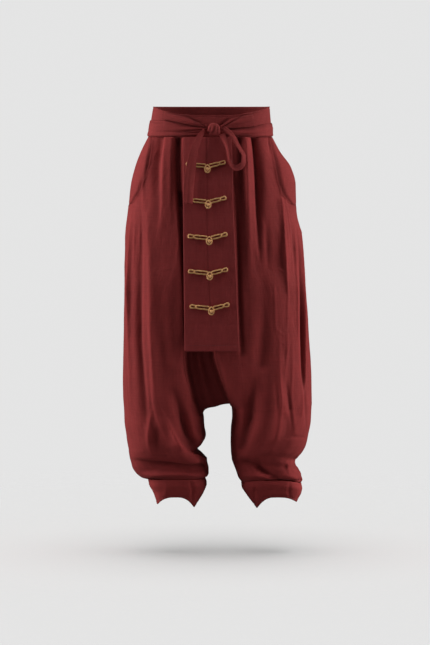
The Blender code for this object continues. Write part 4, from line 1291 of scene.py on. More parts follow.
class Body:
    """The plain form of both legs and cuffs, with every crease laid on it."""

    LEAN = 0.8
    LEAN_SINES = (0.05, 0.35)

    def __init__(self) -> None:
        """Build the tubes and lay the creases."""
        view = PhotoView()
        left = Tube(Side.LEFT, LEFT_LEG)
        self.legs = {Side.LEFT: left, Side.RIGHT: Tube(Side.RIGHT, RIGHT_LEG, left.steps)}
        self.cuffs = {Side.LEFT: Tube(Side.LEFT, LEFT_LEG[-1:] + LEFT_CUFF),
                      Side.RIGHT: Tube(Side.RIGHT, RIGHT_LEG[-1:] + RIGHT_CUFF)}
        self.leg_relief = Relief(self.legs, FOLDS + CREASES, view)
        self.cuff_relief = Relief(self.cuffs, CUFF_CREASES, view)
        self.crumple = Crumple(7)

    def push(self, tube: Tube, angle: Array, t: Array) -> Array:
        """Directions that folds stand out in: outward, and leaning to the front or the back."""
        way, s = tube.normal(angle, t), np.sin(angle)
        way[..., 1] -= self.LEAN * smooth(*self.LEAN_SINES, np.abs(s)) * np.sign(s)
        return unit(way)

    def layer(self, tube: Tube, angle: Array, t: Array, out: Array | float) -> Array:
        """Points of a leg's folded cloth, moved out from it."""
        base = tube.point(angle, t)
        return base + self.push(tube, angle, t) * (self.leg_relief.at(base) + out)[..., None]

    def pocket_angle(self, tube: Tube, t: float) -> float:
        """Angle of the pocket's slanted edge, or of the side seam below the pocket.

        Args:
            tube: The leg.
            t: Place along it.

        Returns:
            The angle, 0 at the side seam.
        """
        z = float(tube.curve.at(t)[Column.Z_OUT])
        edge = POCKET_EDGE[tube.side]
        lowest = edge[-1][0]
        if z >= lowest:
            return float(tube.angle_of_x(read_rows(edge, z)[0], t))
        last = self.pocket_angle(tube, tube.place_at(lowest + 0.5))
        return last * float(1 - smooth(-lowest, -POCKET_END_Z, np.array(-z)))


@dataclass
class LegPanels:
    """Front and back panels of one leg, pleated at the waist seam."""

    body: Body
    side: Side
    columns: int = 120
    row_step: float = 3.5
    least_step: float = 0.3
    pocket_rows: tuple[float, float] = (-178.0, -212.0)
    pocket_step: float = 1.4
    crotch_reach: float = 80.0
    crotch_turn: float = 1.5
    seam_depth: float = 1.0
    seam_reach: float = 1.8
    wall: float = 1.4
    edge_draw: float = 0.5
    lip: float = 2.0
    lip_width: float = 4.5
    lip_end: float = 12.0
    drape_from: float = 40.0
    drape_shading: float = 1.5
    back_shift: float = 400.0
    shading_reach: tuple[int, int] = (5, 6)
    turn_in: float = 9.0

    def rows(self, tube: Tube) -> Array:
        """Places of the panel's rows, closer at the pocket's end and just above the crotch.

        Args:
            tube: The leg.

        Returns:
            Places along the leg.
        """
        places = np.linspace(0.0, tube.knots[-1], int(tube.knots[-1] / self.row_step) + 1)
        high, low = [tube.place_at(z) for z in self.pocket_rows]
        crotch = tube.knots[CROTCH_ROW]
        every = np.arange(crotch - self.crotch_reach, crotch, 0.2)
        turn = np.degrees(tube.cut_angle(every))
        close = np.interp(np.arange(turn[0], turn[-1], self.crotch_turn), turn, every)
        places = np.union1d(np.union1d(places, np.arange(high, low, self.pocket_step)), close)
        return places[np.concatenate([[True], np.diff(places) > self.least_step])]

    def angles(self, tube: Tube, start: float, end: float, t: float) -> Array:
        """Even angles along one ring, drawn in to the pocket's edge beside it.

        Args:
            tube: The leg.
            start: Angle of the inner edge.
            end: Angle of the outer edge.
            t: Place along the leg.

        Returns:
            One angle for each column.
        """
        fine = np.linspace(start, 0.0, RING_POINTS)
        run = run_along(tube.point(fine, np.full(RING_POINTS, t)))
        even = np.interp(np.linspace(0, run[-1], self.columns + 1), run, fine)
        near = abs(end + self.edge_draw * np.sign(start))
        return np.where(np.abs(even) < near, end + even * self.edge_draw / near, even)

    def build(self, face: Face) -> Piece:
        """Build one panel.

        Args:
            face: Front or back.

        Returns:
            The panel, ready to place.
        """
        tube, front = self.body.legs[self.side], face is Face.FRONT
        places = self.rows(tube)
        cut = tube.cut_angle(places) * face.value
        edge = [self.body.pocket_angle(tube, t) if front else 0.0 for t in places]
        angle = np.array([self.angles(tube, a, b, t) for a, b, t in zip(cut, edge, places)])
        t = np.repeat(places[:, None], self.columns + 1, axis=1)
        base = tube.point(angle, t)
        run = run_lengths(base)
        width = run[:, -1:]
        seam = -self.seam_depth * bell(np.minimum(np.minimum(run, width - run), t), self.seam_reach)
        fine = np.linspace(0.0, math.pi, 361)
        arcs = run_lengths(tube.point(fine[None, :] * face.value, places[:, None]))
        across = np.array([np.interp(np.abs(a), fine, arc) for a, arc in zip(angle, arcs)])
        drape = self.body.crumple.drape(across + self.back_shift * (not front), t)
        drape *= smooth(0, self.drape_from, t)
        relief = self.body.leg_relief.at(base)
        mouth = smooth(POCKET_END_Z, POCKET_END_Z + self.lip_end, base[..., 2]) * front
        lip = self.lip * bell(width - run, self.lip_width) * mouth
        height = relief + np.where(lip > 0.3, 0.0, seam) + drape + lip
        hem = smooth(0, self.turn_in, tube.knots[-1] - t)
        height = np.minimum(height, 0) + np.maximum(height, 0) * hem
        outer = base + self.body.push(tube, angle, t) * height[..., None]
        row, column = len(places) // 2, self.columns // 2
        outward = tube.normal(angle[row:row + 1, column], t[row:row + 1, column])[0]
        # Painted shade in the troughs and painted highlight on the crests of the folds and drape.
        return sheet(f"leg_{face.name.lower()}_{self.side.value}", outer, (across, -t), outward,
                     LINEN, self.wall, fold_shading(relief + self.drape_shading * drape, self.shading_reach))


@dataclass
class PocketFacing:
    """Facing behind one slanted pocket edge."""

    body: Body
    side: Side
    columns: int = 26
    rows: int = 70
    below: float = 12.0
    lap: float = 11.0
    tuck: float = 6.0
    tuck_reach: tuple[float, float] = (2.0, 18.0)
    end_tuck: float = 3.0
    end_heights: tuple[float, float] = (190.0, 200.0)
    sink: float = 0.2
    angle_step: float = 0.05
    wall: float = 1.0

    def build(self) -> Piece:
        """Build the facing.

        Returns:
            The facing, ready to place.
        """
        tube = self.body.legs[self.side]
        places = np.linspace(0.0, tube.place_at(POCKET_END_Z) + self.below, self.rows + 1)
        outer, across, shade = [], [], []
        for t in places:
            edge = self.body.pocket_angle(tube, t)
            near = tube.point(edge, t) - tube.point(edge + self.angle_step, t)
            around = float(np.linalg.norm(near)) / self.angle_step
            angle = np.linspace(0.0, edge + self.lap / around, self.columns + 1)
            under = 1 - smooth(*self.tuck_reach, np.maximum(edge - angle, 0.0) * around)
            end = self.end_tuck * smooth(*self.end_heights, -tube.curve.at(t)[Column.Z_OUT])
            tuck = np.maximum(self.tuck * under, end)
            outer.append(self.body.layer(tube, angle, np.full(len(angle), t), -tuck - self.sink))
            across.append(angle * around)
            # Painted shade where the facing is tucked under the pocket edge.
            shade.append(-under)
        down = np.repeat(-places[:, None], self.columns + 1, axis=1)
        outward = tube.normal(np.array([0.2]), np.array([places[self.rows // 2]]))[0]
        return sheet(f"pocket_facing_{self.side.value}", np.array(outer), (np.array(across), down),
                     outward, LINEN, self.wall, np.array(shade))


@dataclass
class Gusset:
    """Crotch gusset: down the front, under the crotch and up the back."""

    body: Body
    columns: int = 36
    row_step: float = 3.5
    start: float = 20.0
    sink: float = 1.0
    lift: float = 17.0
    peak: float = 0.42
    pull: float = 1.25
    valley: float = 34.0
    valley_rise: tuple[float, float] = (10.0, 110.0)
    valley_wall: float = 0.22
    valley_ridge: tuple[float, float, float] = (0.35, 0.46, 0.14)
    ridge: tuple[float, float, float] = (2.0, 0.45, 0.12)
    ridge_from: tuple[float, float] = (20.0, 80.0)
    ridge_edge: float = 0.12
    angle_step: float = 0.03
    shade: float = 0.8
    shade_below: float = 50.0
    shade_edge: float = 0.2
    wall: float = 1.4

    def top(self) -> float:
        """Place along the left leg at which the gusset starts."""
        return self.body.legs[Side.LEFT].knots[GUSSET_ROW] + self.start

    def line(self, t: float, facing: int) -> Array:
        """One cross line, from the left leg's edge to the right leg's.

        Args:
            t: Place along the legs.
            facing: 1 in front, -1 behind.

        Returns:
            Points in millimetres.
        """
        ends = []
        for tube in self.body.legs.values():
            angle = float(tube.cut_angle(t)) * facing
            here = self.body.layer(tube, np.array([angle]), np.array([t]), -self.sink)[0]
            step = self.angle_step * facing
            on = tube.point(np.array([angle + step, angle - step]), np.array([t, t]))
            ends.append((here, unit(on[0] - on[1]), math.sin(abs(angle))))
        (a, along_a, open_a), (b, along_b, open_b) = ends
        opened = min(open_a, open_b)
        w = np.linspace(0.0, 1.0, self.columns + 1)[:, None]
        pull = np.linalg.norm(b - a) * self.pull * opened
        line = a * (2 * w**3 - 3 * w**2 + 1) + b * (3 * w**2 - 2 * w**3)
        line += along_a * pull * (w**3 - 2 * w**2 + w) - along_b * pull * (w**3 - w**2)
        up = w / self.peak
        lift = self.lift * (1 - opened) * up * np.exp(1 - up) * np.sqrt(1 - w)
        rise = smooth(*self.valley_rise, np.array(t - self.top())) * (facing > 0)
        high, middle, width = self.valley_ridge
        hollow = smooth(0, self.valley_wall, w) * smooth(0, self.valley_wall, 1 - w)
        hollow *= 1 - high * bell(w - middle, width)
        deep = self.valley * rise * math.sqrt(max(opened, 0.0)) * hollow
        return line + np.concatenate([0 * w, deep, lift], axis=1)

    def build(self) -> Piece:
        """Build the gusset, with a soft ridge down its middle and painted shade down the front
        recess.

        Returns:
            The gusset, ready to place.
        """
        top, low = self.top(), self.body.legs[Side.LEFT].knots[CROTCH_ROW]
        places = np.linspace(top, low, int((low - top) / self.row_step))
        front, back = [[self.line(t, facing) for t in places] for facing in (1, -1)]
        points = np.array(front + back[-2::-1])
        middle = self.columns // 2
        normal = unit(np.cross(np.gradient(points, axis=0), np.gradient(points, axis=1)))
        normal *= -np.sign(normal[5, middle, 1])
        share = np.linspace(0, 1, self.columns + 1)[None, :]
        edge = np.minimum(share, 1 - share)
        wide = np.linalg.norm(points[:, -1] - points[:, 0], axis=1)[:, None]
        high, place, width = self.ridge
        ridge = smooth(*self.ridge_from, wide) * (high * bell(share - place, width) - 1.0)
        points = points + normal * (ridge * smooth(0, self.ridge_edge, edge))[..., None]
        run = run_lengths(points)
        rise = run_along(points[:, middle])[:, None] + 0 * run
        # Painted shade: the front recess between the legs is darkened, growing down from its top
        # and fading at its edges; the back half gets none.
        tone = -self.shade * smooth(0, self.shade_below, places - top)[:, None]
        tone = tone * smooth(0, self.shade_edge, edge)
        tone = np.concatenate([tone, 0 * tone[-2::-1]])
        return sheet("gusset", points, (run, -rise), normal[len(points) // 2, middle], LINEN,
                     self.wall, tone)


@dataclass
class Cuff:
    """Front and back halves of one tapered cuff, with a turned arched hem."""

    body: Body
    side: Side
    columns: int = 80
    rows: int = 34
    side_seam: tuple[float, float] = (0.8, 1.6)
    top_seam: tuple[float, float] = (0.5, 2.2)
    hem: float = CUFF_HEM
    hem_rise: float = 0.7
    hem_ease: float = 0.8
    hem_groove: tuple[float, float] = (0.5, 1.0)
    drape: float = 0.5
    drape_shift: float = 900.0
    wall: float = 2.0

    def build(self, face: Face) -> Piece:
        """Build one half.

        Args:
            face: Front or back.

        Returns:
            The half, ready to place.
        """
        tube = self.body.cuffs[self.side]
        angle, t = np.meshgrid(np.linspace(math.pi, 0.0, self.columns + 1) * face.value,
                               np.linspace(0.0, tube.knots[-1], self.rows + 1))
        base = tube.point(angle, t)
        run = run_lengths(base)
        back = run[:, -1:] - run
        up = tube.knots[-1] - t
        height = self.body.cuff_relief.at(base)
        height += self.drape * self.body.crumple.drape(back + self.drape_shift, t)
        for (depth, width), gap in ((self.side_seam, np.minimum(run, back)), (self.top_seam, t),
                                    (self.hem_groove, up - self.hem)):
            height -= depth * bell(gap, width)
        height += self.hem_rise * (1 - smooth(-self.hem_ease, self.hem_ease, up - self.hem))
        normal = tube.normal(angle, t)
        outward = normal[self.rows // 2, self.columns // 2]
        outer = base + normal * height[..., None]
        # Painted light: the whole cuff takes the full crest value, so it is painted lighter as if
        # lit from below.
        return sheet(f"cuff_{face.name.lower()}_{self.side.value}", outer, (back, -t), outward,
                     LINEN, self.wall, np.ones_like(t))


# ---------------------------------------------------------------- waistband, sash and apron


def outward_of(face: Face) -> tuple[float, float, float]:
    """Direction that a face of the garment looks in."""
    return (0.0, -float(face.value), 0.0)


@dataclass
class Waistband:
    """Waistband in a front and a back half, its front rim dipping at the middle."""

    form: BandForm
    columns: int = 220
    rows: int = 46
    wall: float = 2.6
    sink: float = 0.2
    stitch: tuple[float, float, float] = (0.5, 4.0, 1.2)
    rim: tuple[float, float] = (0.3, 2.0)
    wave: float = 0.25

    def build(self, face: Face) -> Piece:
        """Build one half, with a turned rim and a row of topstitching pressed in below it.

        Args:
            face: Front or back.

        Returns:
            The half, ready to place.
        """
        angle = np.linspace(0.0, math.pi, self.columns + 1)
        top = BAND_TOP - FRONT_DIP * np.sin(angle)[None, :] ** 2 * (face is Face.FRONT)
        share = np.linspace(0, 1, self.rows + 1)[:, None]
        z = top * (1 - share) + BAND_BOTTOM * share
        grid = np.repeat(angle[None, :], self.rows + 1, axis=0) * face.value
        drop = top - z
        depth, place, width = self.stitch
        press = self.rim[0] * bell(drop, self.rim[1]) - depth * bell(drop - place, width)
        wave = self.wave * np.sin(grid * 9.0 + 1.0) * smooth(0, 20, drop)
        folds = self.form.folds(grid, z)
        points = self.form.point(grid, z, press + wave + folds - self.sink)
        # The sash folds are painted as shade in their troughs and as highlight on their ridges.
        return sheet(f"waistband_{face.name.lower()}", points, (run_lengths(points), z),
                     outward_of(face), LINEN_BAND, self.wall, np.clip(folds / BAND_SHADING_FULL, -1, 1))


@dataclass
class Wrap:
    """A stretch of sash or tie over the waistband, its folds drawn to the knot."""

    form: BandForm
    name: str
    stations: Rows
    folds: tuple[tuple[float, float, float], ...]
    columns: int = 90
    rows: int = 30
    level: float = -20.0
    thick: float = 2.4
    wall: float = 1.2
    rise: float = 0.6
    crumple: float = 0.35

    def build(self, face: Face = Face.FRONT) -> Piece:
        """Build the stretch; each fold is a share of its height, a depth and a width.

        Args:
            face: Front or back.

        Returns:
            The stretch, ready to place.
        """
        first, last = self.stations[0][0], self.stations[-1][0]
        count = self.columns + 1
        if face is Face.FRONT:
            ends = [np.clip(self.form.angle(x, self.level), 0.0, math.pi) for x in (first, last)]
            angle = np.linspace(*ends, count)
            x = self.form.point(angle, np.full(count, self.level), 0.0)[:, 0]
        else:
            angle, x = -np.linspace(0.0, math.pi, count), np.linspace(first, last, count)
        low, high = read_rows(self.stations, x)
        share = np.linspace(0, 1, self.rows + 1)[:, None]
        z = low[None, :] + (high - low)[None, :] * share
        edge = np.minimum(share, 1 - share) * (high - low)[None, :]
        out = self.rise + self.thick * np.sqrt(smooth(-0.3, 3.5, edge))
        for level, depth, width in self.folds:
            out = out - depth * bell(share - level, width)
        grid = np.repeat(angle[None, :], self.rows + 1, axis=0)
        crumple = Crumple(len(self.name)).at(x[None, :] + 0 * z, z, 22.0, 5.0)
        folds = self.form.folds(grid, z)
        points = self.form.point(grid, z, out + folds + self.crumple * crumple * smooth(0, 4, edge))
        # Painted shade in the sash folds' troughs and along the stretch's edges, and painted
        # highlight on the folds' ridges.
        shade = np.clip(folds / BAND_SHADING_FULL - 0.6 * bell(edge, 1.2), -1, 1)
        return sheet(self.name, points, (run_lengths(points), z), outward_of(face), LINEN_BAND,
                     self.wall, shade)


@dataclass
class Knot:
    """The sash's knot: a rounded lump with the wraps of the cloth showing as grooves, darkened with
    painted shade.

    A groove has a place across, a lean, a depth and a width, and so has the cross groove.
    """

    centre: tuple[float, float, float] = (4.5, -109.6, -18.5)
    half: tuple[float, float, float] = (15.0, 9.5, 15.0)
    around: int = 72
    levels: int = 48
    grooves: tuple[tuple[float, float, float, float], ...] = (
        (-0.55, 0.25, 1.5, 0.16), (0.02, 0.35, 1.2, 0.12), (0.5, 0.15, 1.6, 0.15),
    )
    cross: tuple[float, float, float, float] = (-0.25, 0.3, 0.8, 0.1)
    taper: float = 0.16
    corners: float = 0.22
    full: float = 1.6

    def build(self) -> Piece:
        """Build the knot.

        Returns:
            The knot, ready to place.
        """
        cage = bmesh.new()
        bmesh.ops.create_uvsphere(cage, u_segments=self.around, v_segments=self.levels, radius=1.0)
        fold = cage.verts.layers.float.new("PaintedFoldShading")
        for vert in cage.verts:
            x, y, z = vert.co
            depth = sum(deep * bell(x - place - lean * z, wide) * (1 - z * z)
                        for place, lean, deep, wide in self.grooves)
            place, lean, deep, wide = self.cross
            depth += deep * bell(z - place - lean * x, wide) * (0.5 + 0.5 * (x < 0.1))
            # Painted shade, darkest in the grooves between the wraps.
            vert[fold] = -min(1.0, depth / self.full)
            squared = 1.0 + self.corners * abs(x * z) + 0.1 * abs(y)
            size = [h * squared - depth for h in self.half]
            size[0] *= 1.0 - self.taper * (z + 0.2)
            vert.co = Vector([a * b + c for a, b, c in zip((x, y, z), size, self.centre)]) * MM
        mesh = to_mesh(cage, "sash_knot_cloth")
        lay_cloth(mesh, vertex_places(mesh)[:, [0, 2]])
        return Piece("sash_knot_cloth", mesh, LINEN_BAND, ("sash_knot",))


@dataclass
class Strap:
    """A hanging end of the sash: a folded flat strap swept through stations."""

    name: str
    stations: Rows
    crown: float = 1.6
    columns: int = 14
    step: float = 2.5
    wall: float = 1.6
    seed: int = 3
    crumple: float = 0.5
    crease: tuple[float, float, float] = (0.7, 0.12, 0.07)

    def build(self) -> Piece:
        """Build the strap; a station is x, y, z, width and turn.

        Returns:
            The strap, ready to place.
        """
        table = np.array(self.stations, float)
        knots = run_along(table[:, :3])
        run = np.linspace(0, knots[-1], int(knots[-1] / self.step))
        rows = Curve(table, knots).at(run)
        along = unit(np.gradient(rows[:, :3], axis=0))
        across = unit(np.cross(along, FORWARD))
        facing = np.cross(across, along)
        turn = np.radians(rows[:, 4])[:, None]
        wide = across * np.cos(turn) + facing * np.sin(turn)
        thick = facing * np.cos(turn) - across * np.sin(turn)
        share = np.linspace(-0.5, 0.5, self.columns + 1)[None, :]
        u, v = np.meshgrid(share[0] * 20.0, run)
        deep, place, width = self.crease
        lift = (self.crown * np.cos(share * math.pi) ** 0.7 - deep * bell(share - place, width)
                + self.crumple * Crumple(self.seed).at(u, v, 6.0, 40.0))
        out = rows[:, 3:4] * share
        points = (rows[:, None, :3] + wide[:, None, :] * out[..., None]
                  + thick[:, None, :] * lift[..., None])
        return sheet(self.name, points, (out, -v), thick[len(thick) // 2], LINEN_BAND, self.wall)


@dataclass
class Apron:
    """Doubled apron panel with a pressed centre crease and a stitched hem.

    The pressed lines have a depth and a width, and the centre crease is x against z. The shades are
    painted shade along the centre crease and along the edges, each as a darkness and a width.
    """

    form: ApronForm
    columns: int = 64
    rows: int = 220
    wall: float = 2.6
    centre: Rows = ((-533, -1), (-480, -1.6), (-350, -8.5), (-190, -11.5))
    centre_press: tuple[float, float] = (0.7, 1.3)
    centre_end: tuple[float, float] = (440.0, 500.0)
    hem_press: tuple[float, float] = (0.5, 1.2)
    cross_press: tuple[float, float] = (0.35, 2.0)
    cross_z: float = -470.0
    edge_press: tuple[float, float] = (0.6, 1.2)
    centre_shade: tuple[float, float] = (0.5, 1.6)
    edge_shade: tuple[float, float] = (0.8, 1.4)
    broad: tuple[float, float, float] = (0.8, 40.0, 120.0)
    fine: tuple[float, float, float] = (0.25, 9.0, 12.0)
    seed: int = 12

    def build(self) -> Piece:
        """Build the panel.

        Returns:
            The panel, ready to place.
        """
        z = np.linspace(APRON_TOP, APRON_HEM, self.rows + 1)[:, None]
        share = np.linspace(0, 1, self.columns + 1)[None, :]
        low, high = read_rows(APRON_EDGES, z)
        x = low + (high - low) * share
        z = z + 0 * x
        gap = x - read_rows(self.centre, z)[0]
        fade = 1 - smooth(*self.centre_end, -z)
        edge = np.minimum(x - low, high - x)
        noise = Crumple(self.seed)
        out = sum(high * noise.at(x, z, *size) for high, *size in (self.broad, self.fine))
        for (depth, width), away, much in (
                (self.centre_press, gap, fade), (self.hem_press, z - APRON_HEM - APRON_TURN, 1.0),
                (self.cross_press, z - self.cross_z, 1.0), (self.edge_press, edge, 1.0)):
            out -= depth * much * bell(away, width)
        # Painted shade along the pressed centre crease and along both edges.
        (dark, width), (edge_dark, edge_width) = self.centre_shade, self.edge_shade
        tone = -np.maximum(dark * fade * bell(gap, width), edge_dark * bell(edge, edge_width))
        points = self.form.point(x, z, out)
        return sheet("apron", points, (x, z), FORWARD, LINEN_APRON, self.wall, tone)


# ---------------------------------------------------------------- cords and stitches


@dataclass
class Rope:
    """Twisted two-ply cord along a path on the apron."""

    name: str
    path: Array
    radius: float
    closed: bool = False
    plies: int = 2
    pitch: float = 7.0
    step: float = 1.1
    arm: float = 0.46
    ply: float = 0.58

    def plies_along(self) -> list[Array]:
        """Each ply's own path, wound about the cord's.

        Returns:
            Points of each ply, in millimetres.
        """
        line = np.concatenate([self.path, self.path[:1]]) if self.closed else self.path
        knots = run_along(line)
        count = max(12, int(knots[-1] / self.step))
        run = np.linspace(0, knots[-1], count, endpoint=not self.closed)
        centre = read_line(run, knots, line)
        for _ in range(3):
            inner = (np.roll(centre, 1, axis=0) + np.roll(centre, -1, axis=0)) / 2
            if not self.closed:
                inner[0], inner[-1] = centre[0], centre[-1]
            centre = centre * 0.5 + inner * 0.5
        along = unit(np.gradient(centre, axis=0))
        side = unit(np.cross(along, FORWARD))
        up = np.cross(side, along)
        phase = run / knots[-1] * max(1, round(knots[-1] / self.pitch)) * 2 * math.pi
        arm = self.radius * self.arm
        phases = [(phase + k * 2 * math.pi / self.plies)[:, None] for k in range(self.plies)]
        return [centre + arm * (side * np.cos(a) + up * np.sin(a)) for a in phases]

    def mesh(self) -> bpy.types.Mesh:
        """The cord as a mesh, through a curve with a round bevel for each ply.

        Returns:
            The mesh.
        """
        curve = bpy.data.curves.new(self.name, "CURVE")
        curve.dimensions = "3D"
        for ply in self.plies_along():
            spline = curve.splines.new("POLY")
            spline.points.add(len(ply) - 1)
            flat = np.concatenate([ply * MM, np.ones((len(ply), 1))], axis=1)
            spline.points.foreach_set("co", flat.ravel())
            spline.use_cyclic_u = self.closed
        curve.bevel_depth = self.radius * self.ply * MM
        curve.bevel_resolution = 2
        curve.use_fill_caps = True
        made = bpy.data.objects.new(self.name, curve)
        mesh = bpy.data.meshes.new_from_object(made)
        bpy.data.objects.remove(made)
        return mesh


@dataclass
class Frog:
    """One frog fastening: a cord loop to each side, and a cord loop round a knotted button."""

    form: ApronForm
    number: int
    x: float
    z: float
    reach: tuple[tuple[float, float], ...] = ((-49.0, 9.5), (41.0, 14.0))
    start: tuple[float, float] = (5.5, 5.0)
    strand: float = 3.4
    eye: float = 4.6
    nip: tuple[float, float] = (1.3, 3.0)
    uneven: float = 0.3
    wrap_at: float = 13.0
    wrap_rise: float = 2.2
    wrap_bow: float = 1.2
    wrap_short: float = 0.6
    wrap_cord: float = 1.5
    cord: float = 1.9
    stand: float = 2.6
    ring: tuple[float, float] = (6.2, 8.8)
    ring_taper: float = 0.15
    ring_drop: float = 1.2
    ring_stand: float = 2.4
    bead: float = 5.4
    bead_at: tuple[float, float] = (0.4, -2.0)
    bead_stand: float = 2.6
    bead_turns: int = 3
    bead_tilt: float = 0.4
    bead_cord: float = 1.7
    winding: float = 1.6
    core: float = 1.5
    flat: float = 0.8
    core_cuts: tuple[int, int] = (20, 12)

    def half(self, side: Side) -> list[bpy.types.Mesh]:
        """One side's long loop and the wrap across it near its outer end.

        Args:
            side: Which side.

        Returns:
            Their meshes.
        """
        right = side is Side.RIGHT
        here, way = np.array([self.x, self.z]), np.array([1 if right else -1, 1])
        start, end = here + self.start * way, here + self.reach[right]
        length = float(np.hypot(*(end - start)))
        along = (end - start) / length
        across = np.array([-along[1], along[0]])
        places = np.linspace(0.0, length - self.eye, 18)
        spread = self.strand - self.nip[0] * bell(places - (length - self.wrap_at), self.nip[1])
        spread = spread + self.uneven * np.sin(places * 0.5 + self.number)
        upper, lower = [[start + along * s + across * w * half for s, w in zip(places, spread)]
                        for half in (1, -1)]
        turn = [end - along * self.eye + (along * math.sin(a) + across * math.cos(a)) * self.eye
                for a in np.linspace(0, math.pi, 9)[1:-1]]
        flat = np.array([*upper, *turn, *lower[::-1]])
        tag = f"frog_{self.number}_{side.value}"
        loop = Rope(tag, self.form.point(flat[:, 0], flat[:, 1], self.stand), self.cord)
        arc = np.linspace(-1.0, 1.0, 9)
        over = (start + along * (length - self.wrap_at) + along * (arc * self.wrap_bow)[:, None]
                + across * (arc * (self.strand - self.wrap_short))[:, None])
        hump = self.stand + self.wrap_rise * np.cos(arc * math.pi / 2)
        path = self.form.point(over[:, 0], over[:, 1], hump)
        return [loop.mesh(), Rope(f"{tag}_wrap", path, self.wrap_cord, step=0.9).mesh()]

    def button(self) -> list[bpy.types.Mesh]:
        """The drop-shaped loop that hangs at the middle, and the knotted button in it.

        Returns:
            Meshes of the loop, of the button's cord and of its core.
        """
        a = np.linspace(0, 2 * math.pi, 33)[:-1]
        taper = 1 - self.ring_taper + self.ring_taper * smooth(-1, 0.6, -np.cos(a))
        wide = self.ring[0] * np.sin(a) * taper
        high = self.ring[1] * np.cos(a) - self.ring_drop
        path = self.form.point(self.x + wide, self.z + high, self.stand + self.ring_stand)
        ring = Rope(f"frog_{self.number}_ring", path, self.cord, closed=True).mesh()
        x, z = self.bead_at
        centre = self.form.point(np.array(self.x + x), np.array(self.z + z),
                                 self.stand + self.bead_stand)
        turns = np.linspace(0, self.bead_turns * 2 * math.pi, 90)
        tilt = turns / self.bead_turns + self.bead_tilt
        ball = np.stack([np.cos(turns) * np.cos(tilt), np.sin(turns) * self.flat,
                         np.cos(turns) * np.sin(tilt)], axis=1) * (self.bead - self.winding)
        knot = Rope(f"frog_{self.number}_knot", centre + ball, self.bead_cord).mesh()
        cage = bmesh.new()
        core = self.bead - self.core
        add_ball(cage, centre, Matrix.Diagonal((core, core * self.flat, core, 1.0)), self.core_cuts)
        return [ring, knot, to_mesh(cage, f"frog_{self.number}_core")]

    def build(self) -> list[Piece]:
        """The fastening's pieces: each side and the button."""
        parts = {**{side.value: self.half(side) for side in Side}, "button": self.button()}
        pieces = []
        for part, meshes in parts.items():
            name = f"frog_{self.number}_{part}"
            pieces.append(Piece(f"{name}_cord", join(f"{name}_cord", meshes), GOLD, (name,)))
        return pieces


def add_ball(cage: bmesh.types.BMesh, centre: Array, shape: Matrix,
             cuts: tuple[int, int]) -> None:
    """Add a ball to a cage.

    Args:
        cage: What it is added to.
        centre: Its middle, in millimetres.
        shape: Its turn and half sizes.
        cuts: Segments round it and from pole to pole.
    """
    around, levels = cuts
    place = Matrix.Scale(MM, 4) @ Matrix.Translation(Vector(centre)) @ shape
    bmesh.ops.create_uvsphere(cage, u_segments=around, v_segments=levels, radius=1.0, matrix=place)


def join(name: str, parts: Sequence[bpy.types.Mesh]) -> bpy.types.Mesh:
    """Several meshes as one.

    Args:
        name: The new mesh's name.
        parts: What goes into it; they are removed.

    Returns:
        The joined mesh.
    """
    cage = bmesh.new()
    for part in parts:
        cage.from_mesh(part)
        bpy.data.meshes.remove(part)
    return to_mesh(cage, name)


@dataclass
class Stitches:
    """A row of sewn stitches along a path on the cloth."""

    name: str
    path: Array
    normals: Array
    length: float = 2.6
    gap: float = 1.1
    thread: float = 0.42
    sink: float = 0.1
    cuts: tuple[int, int] = (6, 5)

    def build(self) -> Piece:
        """Build the row of small rounded stitches.

        Returns:
            The row, ready to place.
        """
        knots = run_along(self.path)
        cage = bmesh.new()
        size = Matrix.Diagonal((self.length / 2, self.thread, self.thread, 1.0))
        for middle in np.arange(self.length, knots[-1] - self.length, self.length + self.gap):
            ends = read_line(middle + np.array([-0.5, 0.5]) * self.length, knots, self.path)
            normal = read_line(middle, knots, self.normals)
            x = Vector(ends[1] - ends[0]).normalized()
            z = (Vector(normal) - x * x.dot(Vector(normal))).normalized()
            turn = Matrix((x, z.cross(x), z)).transposed().to_4x4()
            centre = ends.mean(axis=0) + normal * (self.thread - self.sink)
            add_ball(cage, centre, turn @ size, self.cuts)
        return Piece(self.name, to_mesh(cage, self.name), THREAD)


def hem_stitches(body: Body, side: Side, face: Face) -> Piece:
    """Stitching round one cuff half, above its hem.

    Args:
        body: The form.
        side: Which leg.
        face: Which half.

    Returns:
        The stitching, ready to place.
    """
    tube, end, count = body.cuffs[side], 0.03, 120
    angle = np.linspace(end, math.pi - end, count) * face.value
    t = np.full(count, tube.knots[-1] - CUFF_HEM)
    base, normal = tube.point(angle, t), tube.normal(angle, t)
    path = base + normal * (body.cuff_relief.at(base) - HEM_SINK)[:, None]
    return Stitches(f"cuff_stitches_{face.name.lower()}_{side.value}", path, normal).build()


def apron_stitches(form_: ApronForm) -> Piece:
    """Stitching across the apron's hem, from 3 mm inside one edge to 3 mm inside the other.

    Args:
        form_: The apron's surface.

    Returns:
        The stitching, ready to place.
    """
    count = 80
    x, z = np.linspace(-61.0, 61.5, count), np.full(count, APRON_HEM + APRON_TURN)
    path = form_.point(x, z, -APRON_SINK)
    return Stitches("apron_hem_stitches", path, np.tile(FORWARD, (count, 1))).build()


# ---------------------------------------------------------------- studio


